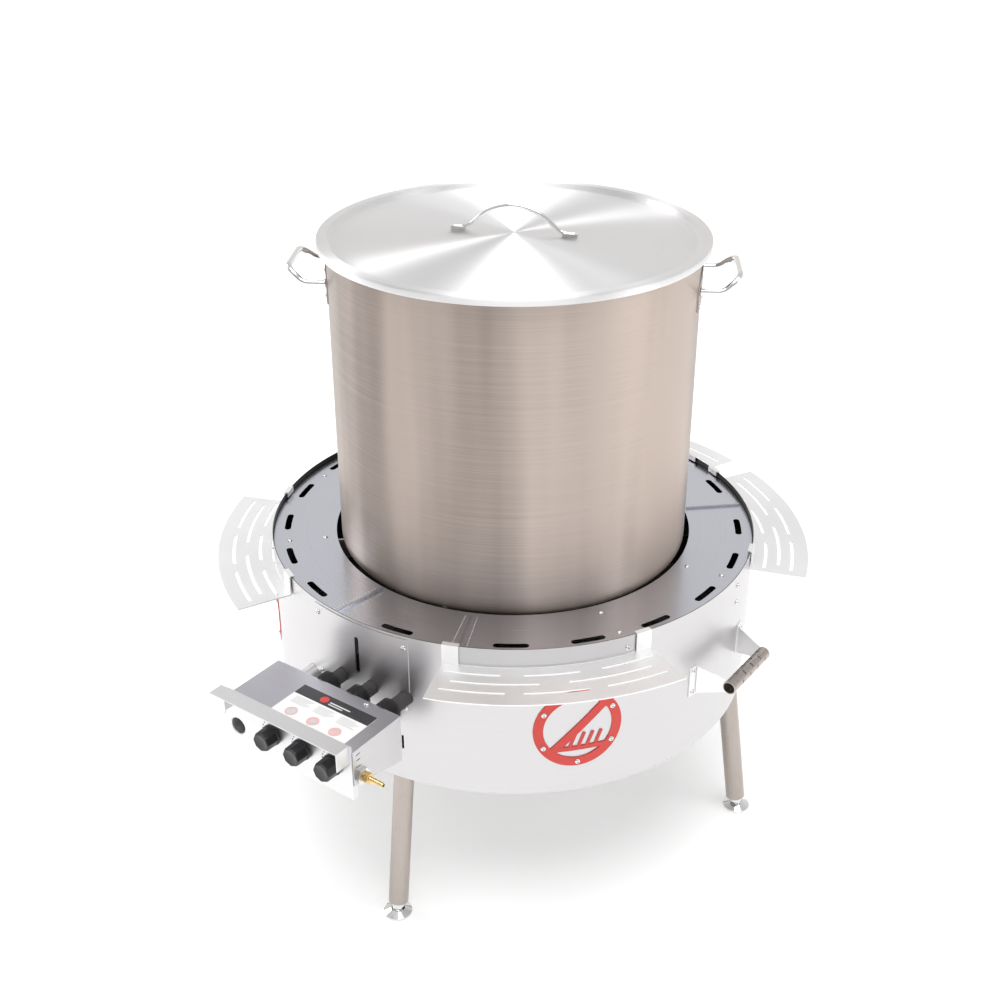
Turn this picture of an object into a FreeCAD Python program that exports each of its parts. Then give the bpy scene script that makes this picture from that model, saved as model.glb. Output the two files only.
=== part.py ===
"""Lidded brew kettle standing in a round gas cooker on four legs.

The origin is on the kettle's axis at floor level, +Z is up and the control panel faces -Y.
Azimuths are measured from +X, anticlockwise as seen from above.
"""
import FreeCAD, Part
import Sketcher
import math
import os

VECTOR = FreeCAD.Vector
UP = VECTOR(0, 0, 1)
ORIGIN = VECTOR(0, 0, 0)

DRIVING = [
    ("kettle_radius", 300.0, "outside radius of the kettle wall"),
    ("kettle_tall", 540.0, "underside of the base to the rim"),
    ("kettle_wall", 1.5, "wall sheet"),
    ("kettle_seat_z", 529.0, "height of the kettle's underside"),
    ("base_disc_radius", 280.0, "sandwich base"),
    ("base_disc_thick", 7.0, "sandwich base"),
    ("rim_bead", 5.0, "how far the rolled rim stands out"),
    ("lid_radius", 314.4, "outside radius of the lid's brim"),
    ("lid_sheet", 1.5, "lid sheet"),
    ("lid_lip", 9.0, "depth of the lid's turned-down lip"),
    ("lid_well_radius", 293.5, "foot of the lid's sunk wall"),
    ("lid_well_drop", 10.0, "depth of the sunk wall"),
    ("lid_crown_radius", 115.0, "flat middle of the lid"),
    ("drum_radius", 420.0, "outside radius of the drum"),
    ("drum_sheet", 1.5, "drum sheet"),
    ("drum_bottom_z", 281.0, "lower edge of the drum"),
    ("drum_top_z", 556.3, "upper edge of the drum"),
    ("cover_top_z", 546.7, "top face of the ring cover plates"),
    ("cover_sheet", 1.5, "ring cover plate sheet"),
    ("cover_hole_radius", 309.4, "opening that the kettle goes through"),
    ("vent_radius", 394.6, "circle of the air slots"),
    ("vent_wide", 11.0, "width of an air slot"),
    ("vent_angle", 8.0, "length of an air slot, degrees"),
    ("vent_pitch", 17.45, "angle between air slots, degrees"),
    ("leg_radius", 16.85, "one inch steel pipe"),
    ("leg_sheet", 2.0, "pipe wall"),
    ("leg_splay", 8.0, "lean of a leg from the vertical, degrees"),
    ("leg_circle", 397.0, "radius of the legs' axes at the drum's lower edge"),
    ("leg_foot_gap", 24.0, "along the leg, floor to the end of the pipe"),
    ("leg_top", 352.0, "along the leg, floor to its upper end"),
    ("foot_radius", 24.0, "foot pad"),
    ("stem_radius", 6.0, "levelling screw"),
    ("box_half", 126.0, "half width of the control box"),
    ("box_rear_y", -470.0, "rear wall of the control box"),
    ("panel_y", -580.0, "front face of the control panel"),
    ("box_top_z", 460.0, "top face of the control box"),
    ("box_sheet", 1.5, "control box sheet"),
    ("tap_pitch", 61.0, "distance between gas taps"),
    ("tap_middle_x", 27.0, "middle gas tap"),
    ("tap_z", 424.0, "axis of the spindles"),
    ("jet_z", 443.0, "axis of the jets and mixing tubes"),
    ("tube_radius", 12.0, "mixing tube"),
    ("ring_bottom_z", 457.0, "underside of the burner rings"),
    ("ring_tall", 28.0, "height of a burner ring"),
    ("ring_wide", 30.0, "width of a burner ring"),
    ("rail_z", 409.0, "axis of the gas rail"),
    ("rail_y", -562.0, "axis of the gas rail"),
    ("rail_radius", 7.0, "gas rail"),
    ("knob_radius", 18.0, "corner radius of a knob"),
    ("knob_long", 26.0, "length of a knob"),
    ("grip_radius", 11.0, "drum handle tube"),
    ("grip_x", 470.0, "drum handle tube from the kettle's axis"),
    ("grip_z", 418.0, "height of the drum handle"),
    ("grip_half", 62.0, "half length of the drum handle tube"),
    ("shelf_inner", 423.0, "inner edge of a shelf"),
    ("shelf_outer", 515.0, "outer edge of a shelf"),
    ("shelf_z", 523.0, "underside of a shelf"),
    ("shelf_sheet", 2.0, "shelf sheet"),
    ("shelf_half_angle", 22.5, "half the angle of a shelf, degrees"),
    ("rod_radius", 5.25, "kettle handle tube"),
    ("port_radius", 16.0, "lighting port sleeve"),
    ("port_x", -112.0, "lighting port"),
    ("port_z", 404.0, "lighting port"),
    ("sign_radius", 72.0, "hot surface plate"),
    ("sign_z", 402.3, "centre of the hot surface plate"),
]

doc = FreeCAD.newDocument("BrewKettle")
dims = doc.addObject("Spreadsheet::Sheet", "Dims")
for row, (alias, size, meaning) in enumerate(DRIVING, start=1):
    dims.set("A%d" % row, meaning)
    dims.set("B%d" % row, str(size))
    dims.setAlias("B%d" % row, alias)
doc.recompute()

nodes = {}


def size(name):
    """A driving dimension as a plain number."""
    return float(dims.get(name))


def number(expression):
    """The value of an expression over the sheet."""
    return float(dims.evalExpression(expression))


# Values that follow from the driving dimensions.
DRUM_INSIDE = size("drum_radius") - size("drum_sheet")
COVER_Z = size("cover_top_z") - size("cover_sheet")
SPLAY = math.radians(size("leg_splay"))
FOOT_CIRCLE = size("leg_circle") + size("drum_bottom_z") * math.tan(SPLAY)
TAP_XS = [size("tap_middle_x") + step * size("tap_pitch") for step in (-1, 0, 1)]
PANEL_BACK = size("panel_y") + size("box_sheet")
SEAT_GAP = 0.3

# Azimuths, degrees.
CONTROL_AZ = -90.0
LEG_AZ = [-80.9, 20.2, 99.1, 200.2]
GRIP_AZ = [0.0, 180.0]
SIGN_AZ = [-40.5, -139.5]
KETTLE_HANDLE_AZ = [32.0, 212.0]
LID_HANDLE_AZ = 22.3
SEAM_AZ = [-96.9, -66.3, 43.5, 153.3]
BRACKET_OFFSET = 18.4
FIN_AZ = [43.0 + 60.0 * step for step in range(6)]
SHELF_AZ = {"front": -46.9, "right": 40.2, "rear": 91.0, "left": -136.4}
COVER_NAMES = ["front", "right", "rear", "left"]

# Height of the lugs that hold the burner rings under the pan support.
LUG_TALL = 7.0

# Fastener sizes.
SHANK = 2.0
SHANK_HOLE = 2.1
HEAD_RADIUS = 4.4
HEAD_TALL = 2.6


# ---------------------------------------------------------------- helpers

def turned(shape, azimuth):
    """A copy of a shape turned about the kettle's axis."""
    copy = shape.copy()
    copy.rotate(ORIGIN, UP, azimuth)
    return copy


def swept_profile(corners, start, end):
    """A closed (radius, height) outline swept about the kettle's axis."""
    points = [VECTOR(radius, 0, height) for radius, height in corners]
    face = Part.Face(Part.makePolygon(points + points[:1]))
    solid = turned(face, start).revolve(ORIGIN, UP, end - start)
    if solid.Volume < 0:
        solid.reverse()
    return solid


def sector(inner, outer, low, high, start, end):
    """Part of a flat or upright ring."""
    corners = [(inner, low), (outer, low), (outer, high), (inner, high)]
    return swept_profile(corners, start, end)


def arc_slot(radius, wide, start, end, low, high):
    """A curved slot with round ends, as a solid to cut away."""
    inset = math.degrees(wide / 2 / radius)
    tool = sector(radius - wide / 2, radius + wide / 2, low, high, start + inset, end - inset)
    for angle in (start + inset, end - inset):
        tip = Part.makeCylinder(wide / 2, high - low, VECTOR(radius, 0, low))
        tool = tool.fuse(turned(tip, angle))
    return tool


def block(low, high):
    """A box between two corners."""
    return Part.makeBox(*[b - a for a, b in zip(low, high)], VECTOR(*low))


def rod(radius, start, end):
    """A cylinder between two points."""
    start, end = VECTOR(*start), VECTOR(*end)
    return Part.makeCylinder(radius, (end - start).Length, start, end - start)


def merged(shapes):
    """One clean solid from several that touch."""
    return shapes[0].multiFuse(shapes[1:]).removeSplitter()


def rounded_path(points, radii):
    """Straight runs joined by tangent arcs; radii belong to the inner points."""
    points = [VECTOR(*point) for point in points]
    edges = []
    start = points[0]
    for before, corner, after, radius in zip(points, points[1:], points[2:], radii):
        back = (before - corner).normalize()
        ahead = (after - corner).normalize()
        half = back.getAngle(ahead) / 2
        run = radius / math.tan(half)
        middle = corner + (back + ahead).normalize() * (radius / math.sin(half) - radius)
        first, last = corner + back * run, corner + ahead * run
        edges.append(Part.LineSegment(start, first).toShape())
        edges.append(Part.Arc(first, middle, last).toShape())
        start = last
    edges.append(Part.LineSegment(start, points[-1]).toShape())
    return Part.Wire(edges)


def bent_rod(radius, points, radii):
    """A round bar along a path of straight runs and arcs."""
    path = rounded_path(points, radii)
    ahead = VECTOR(*points[1]) - VECTOR(*points[0])
    ring = Part.Wire(Part.makeCircle(radius, VECTOR(*points[0]), ahead))
    return path.makePipeShell([ring], True, False)


def feature(label, shape):
    """A node whose shape is worked out here."""
    item = doc.addObject("Part::Feature", label)
    item.Label = label
    item.Shape = shape
    nodes[label] = item
    return item


def primitive(kind, name, place, **sizes):
    """A Part primitive whose sizes are expressions over the sheet."""
    item = doc.addObject("Part::" + kind, name)
    for prop, expression in sizes.items():
        item.setExpression(prop, expression)
    item.Placement = place
    return item


def boolean(kind, label, base, tools):
    """A Part cut or fusion; several tools are joined first."""
    tool = tools[0]
    if kind == "Cut" and len(tools) > 1:
        tool = doc.addObject("Part::MultiFuse", label + "_tools")
        tool.Shapes = tools
    if kind == "Cut":
        item = doc.addObject("Part::Cut", label)
        item.Base, item.Tool = base, tool
    else:
        item = doc.addObject("Part::MultiFuse", label)
        item.Shapes = [base] + tools
        item.Refine = True
    item.Label = label
    nodes[label] = item
    return item


def place_at(x, y, z, rotation=None):
    return FreeCAD.Placement(VECTOR(x, y, z), rotation or FreeCAD.Rotation())


def new_body(label, plane):
    """A PartDesign body with a sketch on one of its own origin planes."""
    body = doc.addObject("PartDesign::Body", label)
    body.Label = label
    sketch = body.newObject("Sketcher::SketchObject", label + "_outline")
    support = next(f for f in body.Origin.OriginFeatures if f.Role == plane)
    sketch.AttachmentSupport = [(support, "")]
    sketch.MapMode = "FlatFace"
    return body, sketch


def outline(sketch, corners):
    """A closed outline whose corner coordinates are expressions over the sheet."""
    places = [VECTOR(number(across), number(up), 0) for across, up in corners]
    count = len(corners)
    for i in range(count):
        sketch.addGeometry(Part.LineSegment(places[i], places[(i + 1) % count]), False)
    for i in range(count):
        sketch.addConstraint(Sketcher.Constraint("Coincident", i, 2, (i + 1) % count, 1))
    for i, (across, up) in enumerate(corners):
        bind(sketch, "DistanceX", i, places[i].x, across, -2)
        bind(sketch, "DistanceY", i, places[i].y, up, -1)


def bind(sketch, kind, corner, value, expression, axis):
    """Tie one coordinate of a corner to its expression, or to an axis where it is zero."""
    if abs(value) < 1e-9:
        sketch.addConstraint(Sketcher.Constraint("PointOnObject", corner, 1, axis))
        return
    index = sketch.addConstraint(Sketcher.Constraint(kind, -1, 1, corner, 1, value))
    sketch.setExpression("Constraints[%d]" % index, expression)


def revolved(label, corners):
    """A turned piece: a (radius, height) outline revolved about the kettle's axis."""
    body, sketch = new_body(label, "XZ_Plane")
    outline(sketch, corners)
    turn = body.newObject("PartDesign::Revolution", label + "_turn")
    turn.Profile = sketch
    turn.ReferenceAxis = (sketch, ["V_Axis"])
    turn.Angle = 360
    body.Tip = turn
    nodes[label] = body
    return body


# ---------------------------------------------------------------- kettle and lid

def make_kettle():
    rim = "Dims.kettle_seat_z + Dims.kettle_tall"
    floor = "Dims.kettle_seat_z + Dims.base_disc_thick"
    inside = "Dims.kettle_radius - Dims.kettle_wall"
    bead = "Dims.kettle_radius + Dims.rim_bead"
    revolved("kettle_body", [
        ("0", floor), ("Dims.kettle_radius - 12", floor), ("Dims.kettle_radius", floor + " + 12"),
        ("Dims.kettle_radius", rim + " - 3"), (bead, rim + " - 3"), (bead, rim),
        (inside, rim), (inside, floor + " + 13"), (inside + " - 11", floor + " + 2"),
        ("0", floor + " + 2")])
    revolved("kettle_base", [
        ("0", "Dims.kettle_seat_z"), ("Dims.base_disc_radius - 2", "Dims.kettle_seat_z"),
        ("Dims.base_disc_radius", "Dims.kettle_seat_z + 2"), ("Dims.base_disc_radius", floor),
        ("0", floor)])


def make_lid():
    under = "Dims.kettle_seat_z + Dims.kettle_tall + 0.3"
    top = under + " + Dims.lid_sheet"
    well = "Dims.lid_well_radius"
    crown = "Dims.lid_crown_radius"
    revolved("lid_shell", [
        ("0", top + " - 1.3"), (crown, top + " - 1.3"), (well + " - 6", top + " - Dims.lid_well_drop"),
        (well, top + " - Dims.lid_well_drop"), (well + " + 2.5", top), ("Dims.lid_radius", top),
        ("Dims.lid_radius", top + " - Dims.lid_lip"),
        ("Dims.lid_radius - Dims.lid_sheet", top + " - Dims.lid_lip"),
        ("Dims.lid_radius - Dims.lid_sheet", under), (well + " + 4", under),
        (well + " + 1.5", under + " - Dims.lid_well_drop"),
        (well + " - 6", under + " - Dims.lid_well_drop"), (crown, under + " - 1.3"),
        ("0", under + " - 1.3")])
    crown_z = number(top) - 1.3
    arch = [(-98, 3.5), (-76, 3.5), (-44, 34), (0, 45), (44, 34), (76, 3.5), (98, 3.5)]
    points = [(along, 0, crown_z + high) for along, high in arch]
    bar = bent_rod(3.6, points, [28, 88, 84, 88, 28])
    feet = [block((side * 91 - 12, -6, crown_z), (side * 91 + 12, 6, crown_z + 5)) for side in (-1, 1)]
    trim = block((-120, -20, crown_z - 5), (120, 20, crown_z))
    feature("lid_handle", turned(merged([bar] + feet).cut(trim), LID_HANDLE_AZ))


HANDLE_LOW_Z = 999.0
HANDLE_HALF = 62.0
PLATE_OUTLINE = [(-72, 968), (72, 968), (72, 1002), (42, 1034), (-42, 1034), (-72, 1002)]
PLATE_RIVETS = [(-62, 978), (62, 978), (-50, 1017), (50, 1017), (-21, 978), (21, 978)]


def make_kettle_handles():
    """Two bent tubes, each welded to a curved plate that is riveted to the wall."""
    wall = size("kettle_radius")
    face = wall + 2.0
    loop = [(face - 6, HANDLE_HALF, HANDLE_LOW_Z), (face + 30, HANDLE_HALF, HANDLE_LOW_Z),
            (face + 56, HANDLE_HALF - 8, HANDLE_LOW_Z + 22),
            (face + 56, 8 - HANDLE_HALF, HANDLE_LOW_Z + 22),
            (face + 30, -HANDLE_HALF, HANDLE_LOW_Z), (face - 6, -HANDLE_HALF, HANDLE_LOW_Z)]
    tube = bent_rod(size("rod_radius"), loop, [24, 24, 24, 24])
    tube = tube.cut(Part.makeCylinder(face, 200, VECTOR(0, 0, 900)))
    points = [VECTOR(wall - 60, across, height) for across, height in PLATE_OUTLINE]
    blank = Part.Face(Part.makePolygon(points + points[:1])).extrude(VECTOR(90, 0, 0))
    plate = blank.common(sector(wall, face, 900, 1060, -20, 20))
    rivets = []
    for across, height in PLATE_RIVETS:
        lean = math.degrees(math.asin(across / face))
        head = Part.makeCone(4.5, 2.6, 2.2, VECTOR(face + 0.03, 0, height), VECTOR(1, 0, 0))
        rivets.append(turned(head, lean))
    for label, azimuth in zip(("right", "left"), KETTLE_HANDLE_AZ):
        feature("kettle_handle_" + label, turned(tube, azimuth))
    plates = [turned(plate, azimuth) for azimuth in KETTLE_HANDLE_AZ]
    feature("kettle_handle_plates", Part.makeCompound(plates))
    heads = [turned(head, azimuth) for azimuth in KETTLE_HANDLE_AZ for head in rivets]
    feature("kettle_rivets", Part.makeCompound(heads))


# ---------------------------------------------------------------- ring cover plates

def cover_edges():
    """Start and end azimuth of each ring cover plate."""
    ends = SEAM_AZ[1:] + [SEAM_AZ[0] + 360]
    return list(zip(COVER_NAMES, SEAM_AZ, ends))


def cover_middles():
    return {name: (start + end) / 2 for name, start, end in cover_edges()}


def bracket_azimuths():
    """Two brackets hold each of the three large plates."""
    middles = cover_middles()
    large = [middles[name] for name in COVER_NAMES[1:]]
    return [middle + side * BRACKET_OFFSET for middle in large for side in (-1, 1)]


COVER_SCREW_RADII = (330.0, 391.0)
LAP_ANGLE = 1.7


def make_covers():
    outer = DRUM_INSIDE - 1.0
    low, high = COVER_Z, size("cover_top_z")
    half = size("vent_angle") / 2
    holes = [turned(Part.makeCylinder(SHANK_HOLE, 10, VECTOR(radius, 0, low - 5)), azimuth)
             for azimuth in bracket_azimuths() for radius in COVER_SCREW_RADII]
    for name, start, end in cover_edges():
        plate = sector(size("cover_hole_radius"), outer, low, high, start + 0.02, end - 0.02)
        ridges = [turned(block((314, 0.3, high - 0.5), (412, 1.6, high + 3.2)), start),
                  turned(block((314, -1.6, high - 0.5), (412, -0.3, high + 3.2)), end)]
        tongues = []
        if name == "front":
            tongues = [sector(318, 380, low - size("cover_sheet"), low, edge - LAP_ANGLE, edge + LAP_ANGLE)
                       for edge in (start, end)]
        plate = merged([plate] + ridges + tongues)
        middle = (start + end) / 2
        steps = [0] if name == "front" else [step - 2.5 for step in range(6)]
        slots = [arc_slot(size("vent_radius"), size("vent_wide"),
                          middle + step * size("vent_pitch") - half,
                          middle + step * size("vent_pitch") + half, low - 5, high + 5)
                 for step in steps]
        feature("ring_cover_" + name, plate.cut(Part.makeCompound(slots + holes)))
    screws = [turned(rod(SHANK, (radius, 0, low - 6), (radius, 0, high)).fuse(
        Part.makeCone(HEAD_RADIUS, 2.8, HEAD_TALL - 0.4, VECTOR(radius, 0, high))), azimuth)
        for azimuth in bracket_azimuths() for radius in COVER_SCREW_RADII]
    feature("ring_cover_screws", Part.makeCompound(screws))


BRACKET_SCREW_Z = (535.3, 503.3)


def make_brackets():
    """Pressed angles under the large plates, screwed to the inside of the drum."""
    reach = DRUM_INSIDE - 0.3
    shelf = block((320, -10, COVER_Z - 2), (reach, 10, COVER_Z))
    web = block((330, 8, COVER_Z - 24), (reach, 10, COVER_Z - 2))
    tab = block((reach - 2, -10, 494), (reach, 10, COVER_Z - 2))
    bracket = merged([shelf, web, tab])
    holes = [rod(SHANK_HOLE, (radius, 0, COVER_Z - 9), (radius, 0, COVER_Z + 1))
             for radius in COVER_SCREW_RADII]
    holes += [rod(SHANK_HOLE, (reach - 9, 0, height), (reach + 1, 0, height))
              for height in BRACKET_SCREW_Z]
    bracket = bracket.cut(Part.makeCompound(holes))
    feature("cover_brackets", Part.makeCompound([turned(bracket, a) for a in bracket_azimuths()]))


# ---------------------------------------------------------------- drum

COVER_PLATE_HALF_ANGLE = 13.0
COVER_PLATE_Z = (419.5, 552.0)
COVER_PLATE_SCREWS = [(CONTROL_AZ + side * 11.9, height)
                      for side in (-1, 1) for height in (424.0, 536.5)]
GRIP_SCREWS = [(centre + side * 10.9, height)
               for centre in GRIP_AZ for side in (-1, 1) for height in (398.0, 439.0)]
SIGN_SCREW_CIRCLE = 64.0


def sign_screws():
    """Six screws round each hot surface plate, as (azimuth, height)."""
    places = []
    for centre in SIGN_AZ:
        for step in range(6):
            angle = math.radians(90 + 60 * step)
            across = SIGN_SCREW_CIRCLE * math.cos(angle)
            lean = math.degrees(across / size("drum_radius"))
            places.append((centre + lean, size("sign_z") + SIGN_SCREW_CIRCLE * math.sin(angle)))
    return places


def bracket_screws():
    return [(azimuth, height) for azimuth in bracket_azimuths() for height in BRACKET_SCREW_Z]


def radial_rod(radius, start, end, azimuth, height):
    """A cylinder that points away from the kettle's axis."""
    return turned(rod(radius, (start, 0, height), (end, 0, height)), azimuth)


def screw_holes(places, start, end):
    return [radial_rod(SHANK_HOLE, start, end, azimuth, height) for azimuth, height in places]


def tube_holes(clearance):
    """Holes for the three mixing tubes and the lighting port, along Y."""
    holes = [rod(size("tube_radius") + clearance, (x, -480, size("jet_z")), (x, -350, size("jet_z")))
             for x in TAP_XS]
    holes.append(rod(size("port_radius") + clearance, (size("port_x"), -600, size("port_z")),
                     (size("port_x"), -350, size("port_z"))))
    return holes


def flame_window():
    """Upright slot for watching the flame."""
    low, high = 464.0, 523.0
    tool = block((-4, -440, low), (4, -400, high))
    for height in (low, high):
        tool = tool.fuse(rod(4, (0, -440, height), (0, -400, height)))
    return tool


def make_drum():
    revolved("drum_shell_blank", [
        ("Dims.drum_radius - Dims.drum_sheet", "Dims.drum_bottom_z"),
        ("Dims.drum_radius", "Dims.drum_bottom_z"), ("Dims.drum_radius", "Dims.drum_top_z"),
        ("Dims.drum_radius - Dims.drum_sheet", "Dims.drum_top_z")])
    blank = nodes.pop("drum_shell_blank")
    places = COVER_PLATE_SCREWS + GRIP_SCREWS + sign_screws() + bracket_screws()
    slit = turned(block((400, -2, 341), (440, 2, 367)), -79.1)
    tools = screw_holes(places, 400, 440) + tube_holes(0.4) + [flame_window(), slit]
    cutter = doc.addObject("Part::Feature", "drum_openings")
    cutter.Shape = Part.makeCompound(tools)
    boolean("Cut", "drum_shell", blank, [cutter])

    outer = size("drum_radius")
    plate = sector(outer, outer + 1.5, *COVER_PLATE_Z, CONTROL_AZ - COVER_PLATE_HALF_ANGLE,
                   CONTROL_AZ + COVER_PLATE_HALF_ANGLE)
    tools = screw_holes(COVER_PLATE_SCREWS, 400, 440) + tube_holes(0.4) + [flame_window()]
    feature("control_cover_plate", plate.cut(Part.makeCompound(tools)))


def make_base_frame():
    """Plate that stiffens the drum and shields the floor, with a sleeve for each leg."""
    plate = sector(20, DRUM_INSIDE, 300, 302, 0, 360)
    sleeve = Part.makeCylinder(20, 60, VECTOR(0, 0, 288))
    bore = Part.makeCylinder(size("leg_radius") + 0.05, 120, VECTOR(0, 0, 260))
    frame = [plate]
    bores = []
    for azimuth in LEG_AZ:
        place = leg_place(azimuth)
        for shape, group in ((sleeve, frame), (bore, bores)):
            copy = shape.copy()
            copy.Placement = place
            group.append(copy)
    feature("base_frame", merged(frame).cut(Part.makeCompound(bores)))


def make_pan_support():
    """Six upright bars welded inside and outside a ring, which carry the kettle over the burners."""
    top = size("kettle_seat_z") - SEAT_GAP
    low = size("ring_bottom_z") + size("ring_tall") + LUG_TALL
    hub_inner, hub_outer = 95.0, 101.0
    bar = block((46, -2.5, low), (DRUM_INSIDE - 0.05, 2.5, top))
    inner_bar = bar.common(Part.makeCylinder(hub_inner, 100, VECTOR(0, 0, low - 10)))
    outer_bar = bar.cut(Part.makeCylinder(hub_outer, 100, VECTOR(0, 0, low - 10)))
    bars = [turned(piece, azimuth) for azimuth in FIN_AZ for piece in (inner_bar, outer_bar)]
    hub = sector(hub_inner, hub_outer, low, top, 0, 360)
    feature("pan_support", Part.makeCompound([hub] + bars))


# ---------------------------------------------------------------- burners

RING_RADII = {"middle": 125.0, "inner": 55.0, "outer": 200.0}
TUBE_MOUTH_Y = -452.0
SCREEN_END_Y = -446.0


def make_burners():
    """Three cast rings, each with its own mixing tube running to the front."""
    low = size("ring_bottom_z")
    high = low + size("ring_tall")
    half = size("ring_wide") / 2
    bore, axis = size("tube_radius"), size("jet_z")
    for x, (name, radius) in zip(TAP_XS, RING_RADII.items()):
        meet = -math.sqrt(radius ** 2 - x ** 2)
        ring = sector(radius - half, radius + half, low, high, 0, 360)
        tube = rod(bore, (x, TUBE_MOUTH_Y, axis), (x, meet, axis))
        riser = rod(bore, (x, meet, axis), (x, meet, low + 5))
        elbow = Part.makeSphere(bore, VECTOR(x, meet, axis))
        bell = Part.makeCone(bore + 5, bore, 14, VECTOR(x, TUBE_MOUTH_Y, axis), VECTOR(0, 1, 0))
        throat = rod(bore - 3, (x, TUBE_MOUTH_Y - 1, axis), (x, meet, axis))
        flare = Part.makeCone(bore + 2, bore - 3, 14, VECTOR(x, TUBE_MOUTH_Y, axis), VECTOR(0, 1, 0))
        lugs = [turned(Part.makeCylinder(5, LUG_TALL, VECTOR(radius, 0, high)), azimuth)
                for azimuth in FIN_AZ[::2]]
        casting = merged([ring, tube, riser, elbow, bell] + lugs)
        feature("ring_burner_" + name, casting.cut(throat.fuse(flare)))
    screen_y = size("box_rear_y") + 0.1
    for index, x in enumerate(TAP_XS, start=1):
        outer = rod(20, (x, screen_y, axis), (x, SCREEN_END_Y, axis))
        inner = rod(19, (x, screen_y - 1, axis), (x, SCREEN_END_Y + 1, axis))
        feature("air_screen_%d" % index, outer.cut(inner))


# ---------------------------------------------------------------- control box

def tray_profile(inset):
    """Side view of the control box: its floor falls towards the drum."""
    rear, front = size("box_rear_y") - inset, PANEL_BACK + (0 if inset == 0 else -5)
    top = size("box_top_z") - size("box_sheet") + (0 if inset == 0 else 5)
    return [(rear, 376 + inset), (rear, top), (front, top), (front, 398 + inset)]


def extruded_tray(inset):
    half = size("box_half") - inset
    points = [VECTOR(-half, y, z) for y, z in tray_profile(inset)]
    return Part.Face(Part.makePolygon(points + points[:1])).extrude(VECTOR(2 * half, 0, 0))


def make_control_box():
    sheet = size("box_sheet")
    tray = extruded_tray(0).cut(extruded_tray(sheet))
    jets = [rod(7, (x, -490, size("jet_z")), (x, -460, size("jet_z"))) for x in TAP_XS]
    outlet = rod(8, (110, size("rail_y"), size("rail_z")), (140, size("rail_y"), size("rail_z")))
    slits = [block((120, -572, z), (130, -563, z + 1.6)) for z in (428, 440, 450)]
    feature("control_box", tray.cut(Part.makeCompound(jets + [outlet] + slits + tube_holes(0.4)[3:])))

    drum = Part.makeCylinder(size("drum_radius") + 0.02, 60, VECTOR(0, 0, 360))
    arms = [block((x - 12, size("box_rear_y"), 384), (x + 12, -405, 388)).cut(drum) for x in (-64, 57)]
    feature("box_arms", Part.makeCompound(arms))

    lid = primitive("Box", "box_cover", place_at(-size("box_half"), PANEL_BACK, size("box_top_z") - sheet),
                    Length="2 * Dims.box_half", Height="Dims.box_sheet",
                    Width="Dims.box_rear_y - Dims.panel_y - Dims.box_sheet")
    screw_hole = primitive("Cylinder", "box_cover_hole", place_at(66, -477, 450), Height="20")
    screw_hole.Radius = SHANK_HOLE
    boolean("Cut", "control_box_cover", lid, [screw_hole])


PANEL_X = (-128.0, 124.0)
PANEL_Z = (372.0, 470.0)


def make_panel():
    front, back = size("panel_y"), PANEL_BACK
    sheet = size("box_sheet")
    panel = block((PANEL_X[0], front, PANEL_Z[0]), (PANEL_X[1], back, PANEL_Z[1]))
    flange = block((PANEL_X[1] - sheet, back, PANEL_Z[0]), (PANEL_X[1], back + 9, 396))
    flange = flange.fuse(block((PANEL_X[0], back, PANEL_Z[0]), (PANEL_X[0] + sheet, back + 9, 396)))
    holes = [rod(5, (x, front - 5, size("tap_z")), (x, back + 5, size("tap_z"))) for x in TAP_XS]
    panel = merged([panel, flange]).cut(Part.makeCompound(holes + tube_holes(0.05)[3:]))
    feature("control_panel", panel)

    guard_x = (-141.0, 119.0)
    lip = front - 26
    top = PANEL_Z[1]
    roof = block((guard_x[0], lip, top - sheet), (guard_x[1], front, top))
    cheek = block((guard_x[1] - sheet, lip, top - 32), (guard_x[1], front, top - sheet))
    tab = block((guard_x[0], lip, top - 32), (guard_x[0] + 33, lip + sheet, top - sheet))
    corners = [edge for edge in tab.Edges if abs(edge.BoundBox.ZMax - top + 32) < 0.01
               and edge.BoundBox.XLength < 0.01]
    tab = tab.makeFillet(13, corners)
    stay = block((guard_x[0] + 33 - sheet, lip + sheet, top - 20), (guard_x[0] + 33, front, top - sheet))
    feature("knob_guard", merged([roof, cheek, tab, stay]))

    x, z, radius = size("port_x"), size("port_z"), size("port_radius")
    sleeve = primitive("Cylinder", "port_sleeve", place_at(x, front + 0.5, z, along_y()),
                       Radius="Dims.port_radius", Height="181")
    bore = primitive("Cylinder", "port_bore", place_at(x, front - 5, z, along_y()),
                     Radius="Dims.port_radius - Dims.box_sheet", Height="195")
    boolean("Cut", "lighting_port", sleeve, [bore])
    label = primitive("Box", "instruction_label", place_at(-46, -574, size("box_top_z")),
                      Length="148", Width="80", Height="0.3")
    nodes["instruction_label"] = label


def along_y():
    """Turns a cylinder's axis from +Z to +Y."""
    return FreeCAD.Rotation(VECTOR(1, 0, 0), -90)


def along_x():
    return FreeCAD.Rotation(VECTOR(0, 1, 0), 90)


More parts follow.
